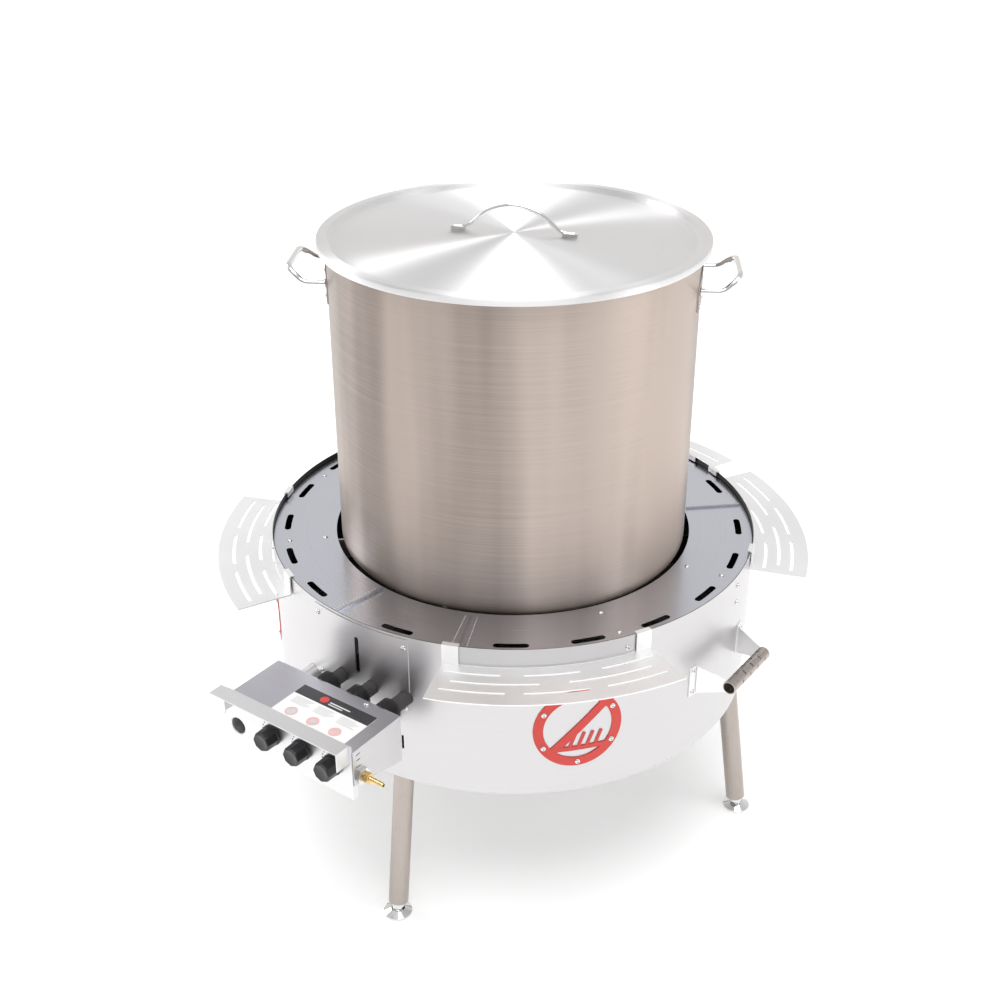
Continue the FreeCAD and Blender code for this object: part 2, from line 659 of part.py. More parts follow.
def make_gas_train():
    """Rail, three taps with jets, and the hose tail."""
    y, z = size("rail_y"), size("rail_z")
    rail = primitive("Cylinder", "rail_tube", place_at(-60, y, z, along_x()),
                     Radius="Dims.rail_radius", Height="170")
    bore = primitive("Cylinder", "rail_bore", place_at(-56, y, z, along_x()),
                     Radius="Dims.rail_radius - 1.5", Height="170")
    boolean("Cut", "gas_rail", rail, [bore])
    jets = []
    for index, x in enumerate(TAP_XS, start=1):
        casing = primitive("Box", "tap_casing_%d" % index,
                           place_at(x - 13, -571, z + size("rail_radius")),
                           Length="26", Width="41", Height="36")
        gland = primitive("Cylinder", "tap_gland_%d" % index, place_at(x, -572, size("tap_z"), along_y()),
                          Radius="4.05", Height="13")
        boolean("Cut", "gas_tap_%d" % index, casing, [gland])
        jets.append(rod(6, (x, -530, size("jet_z")), (x, -476, size("jet_z"))).fuse(
            Part.makeCone(6, 3, 10, VECTOR(x, -476, size("jet_z")), VECTOR(0, 1, 0))))
        spindle = primitive("Cylinder", "tap_spindle_%d" % index,
                            place_at(x, -606, size("tap_z"), along_y()), Radius="4", Height="45")
        nodes["tap_spindle_%d" % index] = spindle
    feature("gas_jets", Part.makeCompound(jets))

    wall = size("box_half")
    tail = [rod(6.9, (110, y, z), (wall, y, z)), rod(8, (wall, y, z), (wall + 7, y, z)),
            hexagon(9.5, wall + 7, wall + 17, y, z), rod(4, (wall + 17, y, z), (wall + 42, y, z))]
    bore = rod(2.5, (109, y, z), (wall + 43, y, z))
    feature("hose_tail", merged(tail).cut(bore))


def hexagon(corner, start, end, y, z):
    """Six-sided bar along X."""
    points = [VECTOR(start, y + corner * math.cos(math.radians(60 * step)),
                     z + corner * math.sin(math.radians(60 * step))) for step in range(6)]
    return Part.Face(Part.makePolygon(points + points[:1])).extrude(VECTOR(end - start, 0, 0))


def make_knobs():
    """Eight-sided knobs, each pressed on its spindle."""
    sides = 8
    for index, x in enumerate(TAP_XS, start=1):
        body, sketch = new_body("tap_knob_%d" % index, "XZ_Plane")
        corners = []
        for step in range(sides):
            angle = 360.0 / sides * (step + 0.5)
            corners.append(("Dims.knob_radius * cos(%g deg)" % angle,
                            "Dims.knob_radius * sin(%g deg)" % angle))
        outline(sketch, corners)
        pad = body.newObject("PartDesign::Pad", "knob_pad_%d" % index)
        pad.Profile = sketch
        pad.setExpression("Length", "Dims.knob_long")
        doc.recompute()
        front = ["Edge%d" % place for place, edge in enumerate(pad.Shape.Edges, start=1)
                 if edge.BoundBox.YMax < pad.Shape.BoundBox.YMin + 0.01]
        bevel = body.newObject("PartDesign::Chamfer", "knob_bevel_%d" % index)
        bevel.Base = (pad, front)
        bevel.Size = 3
        socket_sketch = body.newObject("Sketcher::SketchObject", "knob_socket_outline_%d" % index)
        plane = next(f for f in body.Origin.OriginFeatures if f.Role == "XZ_Plane")
        socket_sketch.AttachmentSupport = [(plane, "")]
        socket_sketch.MapMode = "FlatFace"
        socket_sketch.addGeometry(Part.Circle(ORIGIN, UP, 4.0), False)
        socket = body.newObject("PartDesign::Pocket", "knob_socket_%d" % index)
        socket.Profile = socket_sketch
        socket.Length = 23
        socket.Reversed = True
        body.Tip = socket
        body.Placement = place_at(x, -583, size("tap_z"))
        nodes["tap_knob_%d" % index] = body


# ---------------------------------------------------------------- legs and feet

def leg_place(azimuth):
    """Local +Z runs up the leg from the floor."""
    lean = FreeCAD.Placement(VECTOR(FOOT_CIRCLE, 0, 0),
                             FreeCAD.Rotation(VECTOR(0, 1, 0), -size("leg_splay")))
    return FreeCAD.Placement(ORIGIN, FreeCAD.Rotation(UP, azimuth)).multiply(lean)


def make_legs():
    for index, azimuth in enumerate(LEG_AZ, start=1):
        place = leg_place(azimuth)

        def up(distance):
            return place.multiply(place_at(0, 0, distance))

        pipe = primitive("Cylinder", "leg_pipe_%d" % index, up(size("leg_foot_gap")),
                         Radius="Dims.leg_radius", Height="Dims.leg_top - Dims.leg_foot_gap")
        bore = primitive("Cylinder", "leg_bore_%d" % index, up(size("leg_foot_gap") + 12),
                         Radius="Dims.leg_radius - Dims.leg_sheet", Height="Dims.leg_top")
        nut = primitive("Cylinder", "leg_nut_%d" % index, up(size("leg_foot_gap") - 5),
                        Radius="Dims.stem_radius + 0.05", Height="30")
        boolean("Cut", "leg_%d" % index, pipe, [bore, nut])

        turn = FreeCAD.Placement(ORIGIN, FreeCAD.Rotation(UP, azimuth))
        base = turn.multiply(place_at(FOOT_CIRCLE, 0, 0))
        pad = primitive("Cylinder", "foot_pad_%d" % index, base, Radius="Dims.foot_radius", Height="4")
        dome = primitive("Cone", "foot_dome_%d" % index, base.multiply(place_at(0, 0, 4)),
                         Radius1="Dims.foot_radius", Radius2="Dims.foot_radius / 2", Height="6")
        ball = primitive("Sphere", "foot_ball_%d" % index, base.multiply(place_at(0, 0, 10)),
                         Radius="8")
        collar = primitive("Cylinder", "foot_collar_%d" % index, up(14), Radius="11",
                           Height="Dims.leg_foot_gap - 14 - %g" % SEAT_GAP)
        stem = primitive("Cylinder", "foot_stem_%d" % index, up(10), Radius="Dims.stem_radius",
                         Height="64")
        boolean("Fuse", "levelling_foot_%d" % index, pad, [dome, ball, collar, stem])


# ---------------------------------------------------------------- drum handles, signs, shelves

def make_drum_handles():
    """Slotted tubes carried by two tapering brackets each."""
    x, z, half, radius = size("grip_x"), size("grip_z"), size("grip_half"), size("grip_radius")
    bore = rod(radius - 1.5, (x, -half - 1, z), (x, half + 1, z))
    tube = rod(radius, (x, -half, z), (x, half, z)).cut(bore)
    slits = []
    for row, angle in enumerate((-60, 0, 60, 120, 180, 240)):
        for step in range(4):
            along = -39 + 26 * step + (13 if row % 2 else 0) - 6.5
            slit = block((x + radius - 3, along - 1.2, z - 4), (x + radius + 3, along + 1.2, z + 4))
            slit.rotate(VECTOR(x, 0, z), VECTOR(0, 1, 0), angle)
            slits.append(slit)
    tube = tube.cut(Part.makeCompound(slits))
    for label, azimuth in zip(("right", "left"), GRIP_AZ):
        feature("drum_handle_" + label, turned(tube, azimuth))

    outer = size("drum_radius")
    ring_face = sector(outer, outer + 2, 391, 446, 9.6, 12.0)
    arm_plan = [VECTOR(416.5, 70.6, 380), VECTOR(417, 72.7, 380), VECTOR(464, 59.2, 380),
                VECTOR(463.4, 57.2, 380)]
    arm = Part.Face(Part.makePolygon(arm_plan + arm_plan[:1])).extrude(VECTOR(0, 0, 80))
    taper = [VECTOR(410, 40, 391), VECTOR(466, 40, 407), VECTOR(466, 40, 429), VECTOR(410, 40, 446)]
    taper = Part.Face(Part.makePolygon(taper + taper[:1])).extrude(VECTOR(0, 50, 0))
    drum = Part.makeCylinder(outer, 200, VECTOR(0, 0, 350))
    arm = arm.common(taper).cut(drum).cut(rod(radius, (x, -90, z), (x, 90, z)))
    holes = screw_holes([(10.9, 398.0), (10.9, 439.0)], 400, 440)
    bracket = merged([arm, ring_face]).cut(Part.makeCompound(holes))
    mirrored = bracket.mirror(ORIGIN, VECTOR(0, 1, 0))
    group = [turned(piece, azimuth) for azimuth in GRIP_AZ for piece in (bracket, mirrored)]
    feature("drum_handle_brackets", Part.makeCompound(group))


def make_signs():
    """Plain hot surface plates: a ring, a bar across it and rays that rise from a ledge."""
    radius, z = size("sign_radius"), size("sign_z")
    hole = rod(radius - 16, (390, 0, z), (440, 0, z))
    ring = rod(radius, (395, 0, z), (435, 0, z)).cut(hole)
    bar = block((395, -62, -7), (435, 62, 7))
    bar.rotate(ORIGIN, VECTOR(1, 0, 0), 45)
    bar.translate(VECTOR(0, 0, z))
    ledge = block((395, -46, z - 42), (435, 46, z - 34))
    rays = []
    for across in (-28, -14, 0, 14, 28):
        ray = block((395, -2.5, 0), (435, 2.5, 30))
        ray.rotate(ORIGIN, VECTOR(1, 0, 0), -20)
        ray.translate(VECTOR(0, across, z - 38))
        rays.append(ray)
    sheet = merged([ring, bar, ledge] + rays)
    outer = size("drum_radius")
    shell = sector(outer + 0.02, outer + 1.5, 300, 500, -14, 14)
    plate = sheet.common(shell)
    plates = [turned(plate, azimuth) for azimuth in SIGN_AZ]
    holes = screw_holes(sign_screws(), 400, 440)
    feature("hot_surface_signs", Part.makeCompound(plates).cut(Part.makeCompound(holes)))


def shelf_shape():
    """A slotted ring segment with a hook at each end that hangs on the drum's edge."""
    low = size("shelf_z")
    high = low + size("shelf_sheet")
    inner, outer = size("shelf_inner"), size("shelf_outer")
    half = size("shelf_half_angle")
    plate = sector(inner, outer, low, high, -half, half)
    rim, wall = size("drum_top_z"), size("drum_radius")
    sheet = size("shelf_sheet")
    strap = wall + 1.5
    hook = [(strap, low), (strap + sheet, low), (strap + sheet, rim + SEAT_GAP + sheet),
            (wall - 5.5, rim + SEAT_GAP + sheet), (wall - 5.5, rim - 7), (wall - 3.5, rim - 7),
            (wall - 3.5, rim + SEAT_GAP), (strap, rim + SEAT_GAP)]
    hooks = [swept_profile(hook, start, start + 3.6) for start in (-half, half - 3.6)]
    shelf = merged([plate] + hooks)
    slots = []
    rows = [(inner + 65, (-14.9, 0, 14.9), 11.8), (inner + 42.5, (-11, 11), 16.6),
            (inner + 20, (-15.6, 0, 15.6), 11.2)]
    for radius, middles, sweep in rows:
        slots += [arc_slot(radius, 5, middle - sweep / 2, middle + sweep / 2, low - 5, high + 5)
                  for middle in middles]
    return shelf.cut(Part.makeCompound(slots))


def make_shelves():
    shelf = shelf_shape()
    for name, azimuth in SHELF_AZ.items():
        feature("side_shelf_" + name, turned(shelf, azimuth))


def make_screws():
    """All round-head screws and the hose tail's lock nut."""
    outer = size("drum_radius")
    groups = [(COVER_PLATE_SCREWS, outer + 1.5), (GRIP_SCREWS, outer + 2),
              (sign_screws(), outer + 1.5), (bracket_screws(), outer)]
    screws = []
    for places, seat in groups:
        for azimuth, height in places:
            base = VECTOR(seat + 0.05, 0, height)
            head = Part.makeCone(HEAD_RADIUS, 2.8, HEAD_TALL, base, VECTOR(1, 0, 0))
            shank = rod(SHANK, (DRUM_INSIDE - 6, 0, height), (seat + 1, 0, height))
            screws.append(turned(head.fuse(shank), azimuth))
    top = size("box_top_z")
    screws.append(rod(SHANK, (66, -477, top - 6), (66, -477, top)).fuse(
        Part.makeCone(5.5, 3, 3.2, VECTOR(66, -477, top))))
    y, z, wall = size("rail_y"), size("rail_z"), size("box_half")
    nut = hexagon(14, wall, wall + 6, y, z).cut(rod(8.02, (wall - 1, y, z), (wall + 9, y, z)))
    feature("machine_screws", Part.makeCompound(screws + [nut]))


def export_all():
    doc.recompute()
    for item in doc.Objects:
        if "Invalid" in item.State or "Error" in item.State:
            raise RuntimeError("%s failed: %s" % (item.Name, item.State))
    os.makedirs("parts", exist_ok=True)
    for label, item in nodes.items():
        shape = item.Shape
        if shape.isNull() or not shape.isValid() or shape.Volume <= 0:
            raise RuntimeError("%s has no valid solid" % label)
        shape.exportStep("parts/%s.step" % label)
        box = shape.BoundBox
        print("%-24s %10.1f cm3  z %7.1f %7.1f" % (label, shape.Volume / 1000, box.ZMin, box.ZMax))
    print(len(nodes), "nodes")


make_kettle()
make_lid()
make_kettle_handles()
make_covers()
make_brackets()
make_drum()
make_base_frame()
make_pan_support()
make_burners()
make_control_box()
make_panel()
make_gas_train()
make_knobs()
make_legs()
make_drum_handles()
make_signs()
make_shelves()
make_screws()
export_all()
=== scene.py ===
"""Finishes and fine pieces of a lidded brew kettle standing in a round gas cooker."""
import math

import bmesh
import bpy
from bpy.props import FloatProperty, FloatVectorProperty, IntProperty, PointerProperty
from mathutils import Matrix, Vector


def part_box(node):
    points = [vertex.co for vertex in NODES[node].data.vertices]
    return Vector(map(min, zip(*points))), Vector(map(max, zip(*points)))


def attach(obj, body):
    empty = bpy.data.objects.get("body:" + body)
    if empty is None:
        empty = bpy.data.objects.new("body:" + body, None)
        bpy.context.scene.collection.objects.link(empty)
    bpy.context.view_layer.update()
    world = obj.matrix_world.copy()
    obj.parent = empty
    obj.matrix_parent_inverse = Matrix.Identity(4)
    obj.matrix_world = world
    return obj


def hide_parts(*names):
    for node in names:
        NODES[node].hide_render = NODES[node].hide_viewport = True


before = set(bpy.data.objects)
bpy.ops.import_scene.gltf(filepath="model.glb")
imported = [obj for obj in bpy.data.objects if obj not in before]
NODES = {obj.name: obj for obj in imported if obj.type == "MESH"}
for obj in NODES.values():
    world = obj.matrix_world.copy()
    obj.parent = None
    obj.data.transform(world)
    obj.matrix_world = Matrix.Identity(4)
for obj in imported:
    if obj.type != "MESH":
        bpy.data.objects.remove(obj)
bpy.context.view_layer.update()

bl_info = {
    "name": "Brew Kettle",
    "version": (1, 0, 0),
    "blender": (4, 5, 0),
    "location": "3D View > Sidebar > Brew Kettle",
    "description": "Builds the finishes and fine pieces of a brew kettle and its gas cooker",
    "category": "Add Mesh",
}

POT_LOW, POT_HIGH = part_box("kettle_body")
LID_LOW, LID_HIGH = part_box("lid_shell")
PANEL_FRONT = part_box("control_panel")[0].y
LABEL_LOW, LABEL_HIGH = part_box("instruction_label")
KNOBS = ["tap_knob_%d" % index for index in (1, 2, 3)]
SCREENS = ["air_screen_%d" % index for index in (1, 2, 3)]
RIM_REACH = 0.005
POT_WALL = POT_HIGH.x - RIM_REACH
COVER_SHEET = 0.0015
DRUM_SKIN = 0.0008
UP = Vector((0, 0, 1))
COVER_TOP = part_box("ring_cover_right")[0].z + COVER_SHEET


# ---- settings

class PotSettings(bpy.types.PropertyGroup):
    """Sizes and colours of the pot and its lid"""
    sheet: FloatProperty(name="Sheet", description="Wall thickness", default=0.0015, unit="LENGTH")
    foot_radius: FloatProperty(name="Foot radius", description="Bend where the wall meets the base",
                               default=0.012, unit="LENGTH")
    bead_radius: FloatProperty(name="Rim bead", description="Radius of the rolled rim",
                               default=0.0027, unit="LENGTH")
    segments: IntProperty(name="Segments", description="Flats round the pot", default=192, min=32)
    # Painted shade and painted light: steel and lid_steel colour the same kettle steel, the wall darker and
    # warm, the lid near white on its top.
    steel: FloatVectorProperty(name="Steel", description="Colour of the brushed steel",
                               default=(0.43, 0.368, 0.33), subtype="COLOR", size=3)
    lid_steel: FloatVectorProperty(name="Lid steel", description="Colour of the lid",
                                   default=(0.97, 0.97, 0.985), subtype="COLOR", size=3)


class CookerSettings(bpy.types.PropertyGroup):
    """Sizes and colours of the cooker's fine pieces"""
    wire_radius: FloatProperty(name="Wire", description="Radius of the air screens' wire",
                               default=0.00045, unit="LENGTH")
    wires_round: IntProperty(name="Wires round", description="Wires along each screen", default=40, min=8)
    wire_rings: IntProperty(name="Wire rings", description="Hoops in each screen", default=15, min=4)
    head_radius: FloatProperty(name="Screw head", description="Radius of a round screw head",
                               default=0.0046, unit="LENGTH")
    knob_flutes: IntProperty(name="Knob sides", description="Flats round a knob", default=8, min=3)
    # Painted light: the shelves and brackets take a lighter copy of the drum's sheet steel.
    lit_shelf_steel: FloatVectorProperty(name="Lit shelf steel", description="Colour of the shelves and brackets",
                                      default=(0.93, 0.93, 0.935), subtype="COLOR", size=3)
    drum_steel: FloatVectorProperty(name="Drum steel", description="Colour of the drum and the control box",
                                    default=(0.62, 0.612, 0.618), subtype="COLOR", size=3)
    # Painted shade and painted reflection: the ring cover plates take a darker, bluish copy of the sheet steel.
    cover_steel: FloatVectorProperty(name="Cover steel", description="Colour of the ring cover plates",
                                     default=(0.64, 0.66, 0.72), subtype="COLOR", size=3)
    sign_paint: FloatVectorProperty(name="Sign paint", description="Colour of the hot surface plates",
                                    default=(0.68, 0.035, 0.022), subtype="COLOR", size=3)
    brass: FloatVectorProperty(name="Brass", description="Colour of the gas fittings",
                               default=(0.74, 0.53, 0.24), subtype="COLOR", size=3)


class StageSettings(bpy.types.PropertyGroup):
    """Camera, floor and light"""
    eye: FloatVectorProperty(name="Eye", description="Where the camera stands",
                             default=(1.239, -1.754, 1.735), subtype="TRANSLATION", size=3)
    tilt: FloatProperty(name="Tilt", description="Camera's turn about its own X axis",
                        default=math.radians(61.86), subtype="ANGLE")
    heading: FloatProperty(name="Heading", description="Camera's turn about the upright axis",
                           default=math.radians(35.84), subtype="ANGLE")
    lens: FloatProperty(name="Lens", description="Focal length in millimetres", default=49.98)
    floor_size: FloatProperty(name="Floor", description="Side of the floor", default=80.0, unit="LENGTH")


# ---- mesh helpers

def new_object(name, data):
    """A new object in the scene."""
    made = bpy.data.objects.new(name, data)
    bpy.context.scene.collection.objects.link(made)
    return made


def mesh_object(name, build):
    """A new object whose mesh the function build(bm) makes."""
    bm = bmesh.new()
    build(bm)
    bmesh.ops.remove_doubles(bm, verts=bm.verts, dist=1e-6)
    bmesh.ops.recalc_face_normals(bm, faces=bm.faces)
    mesh = bpy.data.meshes.new(name)
    bm.to_mesh(mesh)
    bm.free()
    return new_object(name, mesh)


def smooth(piece, angle=35):
    """Smooth shading that keeps edges sharper than the angle."""
    piece.data.shade_smooth()
    piece.data.set_sharp_from_angle(angle=math.radians(angle))


def skin(bm, pairs, count):
    """Faces between pairs of rings; a ring of one point closes to a pole."""
    for one, two in pairs:
        for step in range(count):
            after = (step + 1) % count
            corners = dict.fromkeys((one[step % len(one)], one[after % len(one)],
                                     two[after % len(two)], two[step % len(two)]))
            if len(corners) > 2:
                bm.faces.new(list(corners))


def prism(bm, rings):
    """Skin over equal rings, with a cap at each end."""
    skin(bm, zip(rings, rings[1:]), len(rings[0]))
    bm.faces.new(rings[0][::-1])
    bm.faces.new(rings[-1])


def hexagon_points(reach):
    """The corners of a hexagon, as pairs."""
    turns = [math.radians(60 * side) for side in range(6)]
    return [(reach * math.cos(turn), reach * math.sin(turn)) for turn in turns]


def lathe(bm, profile, segments, place=Matrix(), closed=True):
    """Turns an outline of (radius, height) points about Z, then puts it in place."""
    rings = []
    for radius, height in profile:
        if radius < 1e-6:
            rings.append([bm.verts.new(place @ Vector((0, 0, height)))])
            continue
        ring = []
        for step in range(segments):
            turn = 2 * math.pi * step / segments
            point = Vector((radius * math.cos(turn), radius * math.sin(turn), height))
            ring.append(bm.verts.new(place @ point))
        rings.append(ring)
    pairs = list(zip(rings, rings[1:]))
    if closed:
        pairs.append((rings[-1], rings[0]))
    skin(bm, pairs, segments)


def arc(centre_radius, centre_height, radius, start, end, steps=6):
    """Points of an arc in an outline; angles in degrees from outwards."""
    points = []
    for step in range(steps + 1):
        turn = math.radians(start + (end - start) * step / steps)
        points.append((centre_radius + radius * math.cos(turn), centre_height + radius * math.sin(turn)))
    return points


def turn_to(direction, at):
    """A matrix that takes +Z to a direction, at a place."""
    return Matrix.Translation(at) @ Vector(direction).to_track_quat("Z", "Y").to_matrix().to_4x4()


def slab(bm, low, high, material=0):
    """A thin box between two corners."""
    made = bmesh.ops.create_cube(bm, size=1.0)["verts"]
    for vert in made:
        vert.co = Vector([(a + b) / 2 + c * (b - a) for a, b, c in zip(low, high, vert.co)])
    for face in {face for vert in made for face in vert.link_faces}:
        face.material_index = material


def islands(node):
    """The separate solids of a CAD node as lists of corner places, in the same order each run."""
    bm = bmesh.new()
    bm.from_mesh(NODES[node].data)
    bmesh.ops.remove_doubles(bm, verts=bm.verts, dist=1e-6)
    left = dict.fromkeys(bm.verts)
    found = []
    while left:
        group, front = [], [left.popitem()[0]]
        while front:
            vert = front.pop()
            group.append(vert)
            for edge in vert.link_edges:
                other = edge.other_vert(vert)
                if other in left:
                    del left[other]
                    front.append(other)
        found.append([vert.co.copy() for vert in group])
    bm.free()
    return found


def middle_of(points):
    """The middle of the box round some points."""
    low = Vector([min(point[axis] for point in points) for axis in range(3)])
    high = Vector([max(point[axis] for point in points) for axis in range(3)])
    return (low + high) / 2


def outward(point):
    """The level direction from the upright axis to a point."""
    return Vector((point.x, point.y, 0)).normalized()


def finish_piece(piece, material, slot, body, *stands_for):
    """Gives a piece its material, hangs it on its body and hides what it stands for."""
    if material is not None:
        piece.data.materials.clear()
        piece.data.materials.append(material)
    if stands_for:
        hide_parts(*stands_for)
    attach(piece, body)


def make_piece(name, build, angle, material, slot, body, *stands_for):
    """Builds a piece, smooths it up to an angle if one is given, and finishes it."""
    piece = mesh_object(name, build)
    if angle:
        smooth(piece, angle)
    finish_piece(piece, material, slot, body, *stands_for)


# ---- shader groups

def add(tree, kind, sockets=None, **settings):
    """A new node with its settings, and values or links for its sockets."""
    made = tree.nodes.new(kind)
    for name, value in settings.items():
        setattr(made, name, value)
    fill(tree, made, sockets or {})
    return made


def fill(tree, node, sockets):
    """Links or sets a node's sockets, by name or by number."""
    for name, value in sockets.items():
        if isinstance(value, bpy.types.NodeSocket):
            tree.links.new(value, node.inputs[name])
        else:
            node.inputs[name].default_value = value


def new_group(name, inputs, outputs):
    """An empty shader group with its sockets."""
    group = bpy.data.node_groups.new(name, "ShaderNodeTree")
    for label, kind, value in inputs:
        made = group.interface.new_socket(name=label, in_out="INPUT", socket_type="NodeSocket" + kind)
        if value is not None:
            made.default_value = value
    for label, kind in outputs:
        group.interface.new_socket(name=label, in_out="OUTPUT", socket_type="NodeSocket" + kind)
    entry = group.nodes.new("NodeGroupInput")
    leave = group.nodes.new("NodeGroupOutput")
    return group, entry, leave


def math_node(tree, operation, one, two=0.0, three=0.0):
    return add(tree, "ShaderNodeMath", {0: one, 1: two, 2: three}, operation=operation).outputs[0]


def mix_node(tree, factor, one, two):
    """Mixes two colours, which are sockets 6 and 7 of the node."""
    return add(tree, "ShaderNodeMix", {"Factor": factor, 6: one, 7: two}, data_type="RGBA").outputs[2]


def axis_distance(tree, place):
    """How far a place lies from the upright axis."""
    parts = add(tree, "ShaderNodeSeparateXYZ", {0: place})
    square = math_node(tree, "ADD", math_node(tree, "POWER", parts.outputs[0], 2.0),
                       math_node(tree, "POWER", parts.outputs[1], 2.0))
    return math_node(tree, "SQRT", square)


def brush_group():
    """Fine brushing lines and broad marks over a stretched coordinate; on the pot wall the broad marks are
    painted reflection bands, elsewhere wiping marks.
    """
    if "Brush Grain" in bpy.data.node_groups:
        return bpy.data.node_groups["Brush Grain"]
    group, entry, leave = new_group(
        "Brush Grain",
        [("Lay", "Vector", None), ("Place", "Vector", None), ("Fine", "Float", 1.0), ("Broad", "Float", 3.0),
         ("Dark", "Color", (0.5, 0.5, 0.5, 1)), ("Light", "Color", (0.8, 0.8, 0.8, 1)),
         ("Smooth", "Float", 0.2), ("Rough", "Float", 0.4),
         ("Marks", "Float", 0.4)],
        [("Color", "Color"), ("Roughness", "Float"), ("Height", "Float")])
    ins = entry.outputs
    lines = add(group, "ShaderNodeTexNoise", {"Vector": ins["Lay"], "Scale": ins["Fine"], "Detail": 4.0,
                                              "Roughness": 0.65})
    marks = add(group, "ShaderNodeTexNoise", {"Vector": ins["Place"], "Scale": ins["Broad"], "Detail": 3.0,
                                              "Roughness": 0.55})
    lined = math_node(group, "MULTIPLY", lines.outputs["Fac"], math_node(group, "SUBTRACT", 1.0, ins["Marks"]))
    both = math_node(group, "MULTIPLY_ADD", marks.outputs["Fac"], ins["Marks"], lined)
    usual = {"Value": both, "From Min": 0.36, "From Max": 0.64}
    spread = add(group, "ShaderNodeMapRange", usual)
    rough = add(group, "ShaderNodeMapRange", {**usual, "To Min": ins["Smooth"], "To Max": ins["Rough"]})
    tint = mix_node(group, spread.outputs[0], ins["Dark"], ins["Light"])
    fill(group, leave, {"Color": tint, "Roughness": rough.outputs[0], "Height": lines.outputs["Fac"]})
    return group


def stretch_group():
    """Coordinates for brushing: straight along an axis, or round the upright axis."""
    if "Brush Lay" in bpy.data.node_groups:
        return bpy.data.node_groups["Brush Lay"]
    group, entry, leave = new_group(
        "Brush Lay",
        [("Place", "Vector", None), ("Stretch", "Vector", (1, 1, 1)),
         ("Across", "Float", 0.0)],
        [("Lay", "Vector")])
    ins = entry.outputs
    reach = math_node(group, "MULTIPLY", axis_distance(group, ins["Place"]), ins["Across"])
    straight = add(group, "ShaderNodeVectorMath", {0: ins["Place"], 1: ins["Stretch"]}, operation="MULTIPLY")
    lift = add(group, "ShaderNodeCombineXYZ", {"Z": reach})
    whole = add(group, "ShaderNodeVectorMath", {0: straight.outputs[0], 1: lift.outputs[0]}, operation="ADD")
    group.links.new(whole.outputs[0], leave.inputs["Lay"])
    return group


def inside_shade_group():
    """Painted shade: darkens a colour to near black nearer the upright axis than a given reach."""
    if "Painted Shade Inside" in bpy.data.node_groups:
        return bpy.data.node_groups["Painted Shade Inside"]
    group, entry, leave = new_group(
        "Painted Shade Inside",
        [("Place", "Vector", None), ("Color", "Color", (0.8, 0.8, 0.8, 1)),
         # the second colour is the near-black painted shade
         ("Shade Color", "Color", (0.03, 0.028, 0.026, 1)), ("Reach", "Float", 0.4)],
        [("Color", "Color")])
    ins = entry.outputs
    inside = math_node(group, "LESS_THAN", axis_distance(group, ins["Place"]), ins["Reach"])
    fill(group, leave, {"Color": mix_node(group, inside, ins["Color"], ins["Shade Color"])})
    return group


def new_material(name):
    """A material with an object coordinate, a shader and an output."""
    made = bpy.data.materials.new(name)
    made.use_nodes = True
    tree = made.node_tree
    tree.nodes.clear()
    place = add(tree, "ShaderNodeTexCoord").outputs["Object"]
    shader = add(tree, "ShaderNodeBsdfPrincipled")
    add(tree, "ShaderNodeOutputMaterial", {"Surface": shader.outputs[0]})
    return made, tree, place, shader


def grained(tree, colour, contrast, roughness, bump, depth, sockets):
    """Grain over a colour between two roughnesses, and the bumps that go with it."""
    grain = add(tree, "ShaderNodeGroup", {
        "Dark": [part * (1 - contrast) for part in colour] + [1],
        "Light": [min(1, part * (1 + contrast)) for part in colour] + [1],
        "Smooth": roughness[0], "Rough": roughness[1], **sockets}, node_tree=brush_group())
    bumps = add(tree, "ShaderNodeBump", {"Height": grain.outputs["Height"], "Strength": bump,
                                         "Distance": depth})
    return grain, bumps.outputs[0]


def brushed_metal(name, colour, smooth_rough, stretch, across=0.0, fine=1.0, broad=3.0, contrast=0.10,
                  anisotropy=0.0, bump=0.04, marks=0.4, bands=(1.0, 1.0, 1.0), inside_shade_reach=0.0):
    """Brushed or polished metal; stretch sets which way the brushing runs, bands the shape of the marks
    (upright painted reflection bands on the pot wall); the last argument paints near-black shade inside its
    reach.
    """
    if name in bpy.data.materials:
        return bpy.data.materials[name]
    made, tree, place, shader = new_material(name)
    lay = add(tree, "ShaderNodeGroup", {"Place": place, "Stretch": stretch, "Across": across},
              node_tree=stretch_group())
    shaped = add(tree, "ShaderNodeMapping", {"Vector": place, "Scale": bands})
    grain, bumps = grained(tree, colour, contrast, smooth_rough, bump, 0.0004, {
        "Lay": lay.outputs[0], "Place": shaped.outputs[0], "Marks": marks, "Fine": fine, "Broad": broad})
    tint = grain.outputs["Color"]
    # painted shade: surfaces inside the reach, the drum's inner face, are coloured near black
    if inside_shade_reach:
        shade_node = add(tree, "ShaderNodeGroup", {"Place": place, "Color": tint, "Reach": inside_shade_reach},
                   node_tree=inside_shade_group())
        tint = shade_node.outputs["Color"]
    fill(tree, shader, {"Metallic": 1.0, "Anisotropic": anisotropy, "Base Color": tint,
                        "Roughness": grain.outputs["Roughness"], "Normal": bumps})
    if anisotropy:
        tangent = add(tree, "ShaderNodeTangent", direction_type="RADIAL", axis="Z")
        fill(tree, shader, {"Anisotropic Rotation": 0.25, "Tangent": tangent.outputs[0]})
    return made


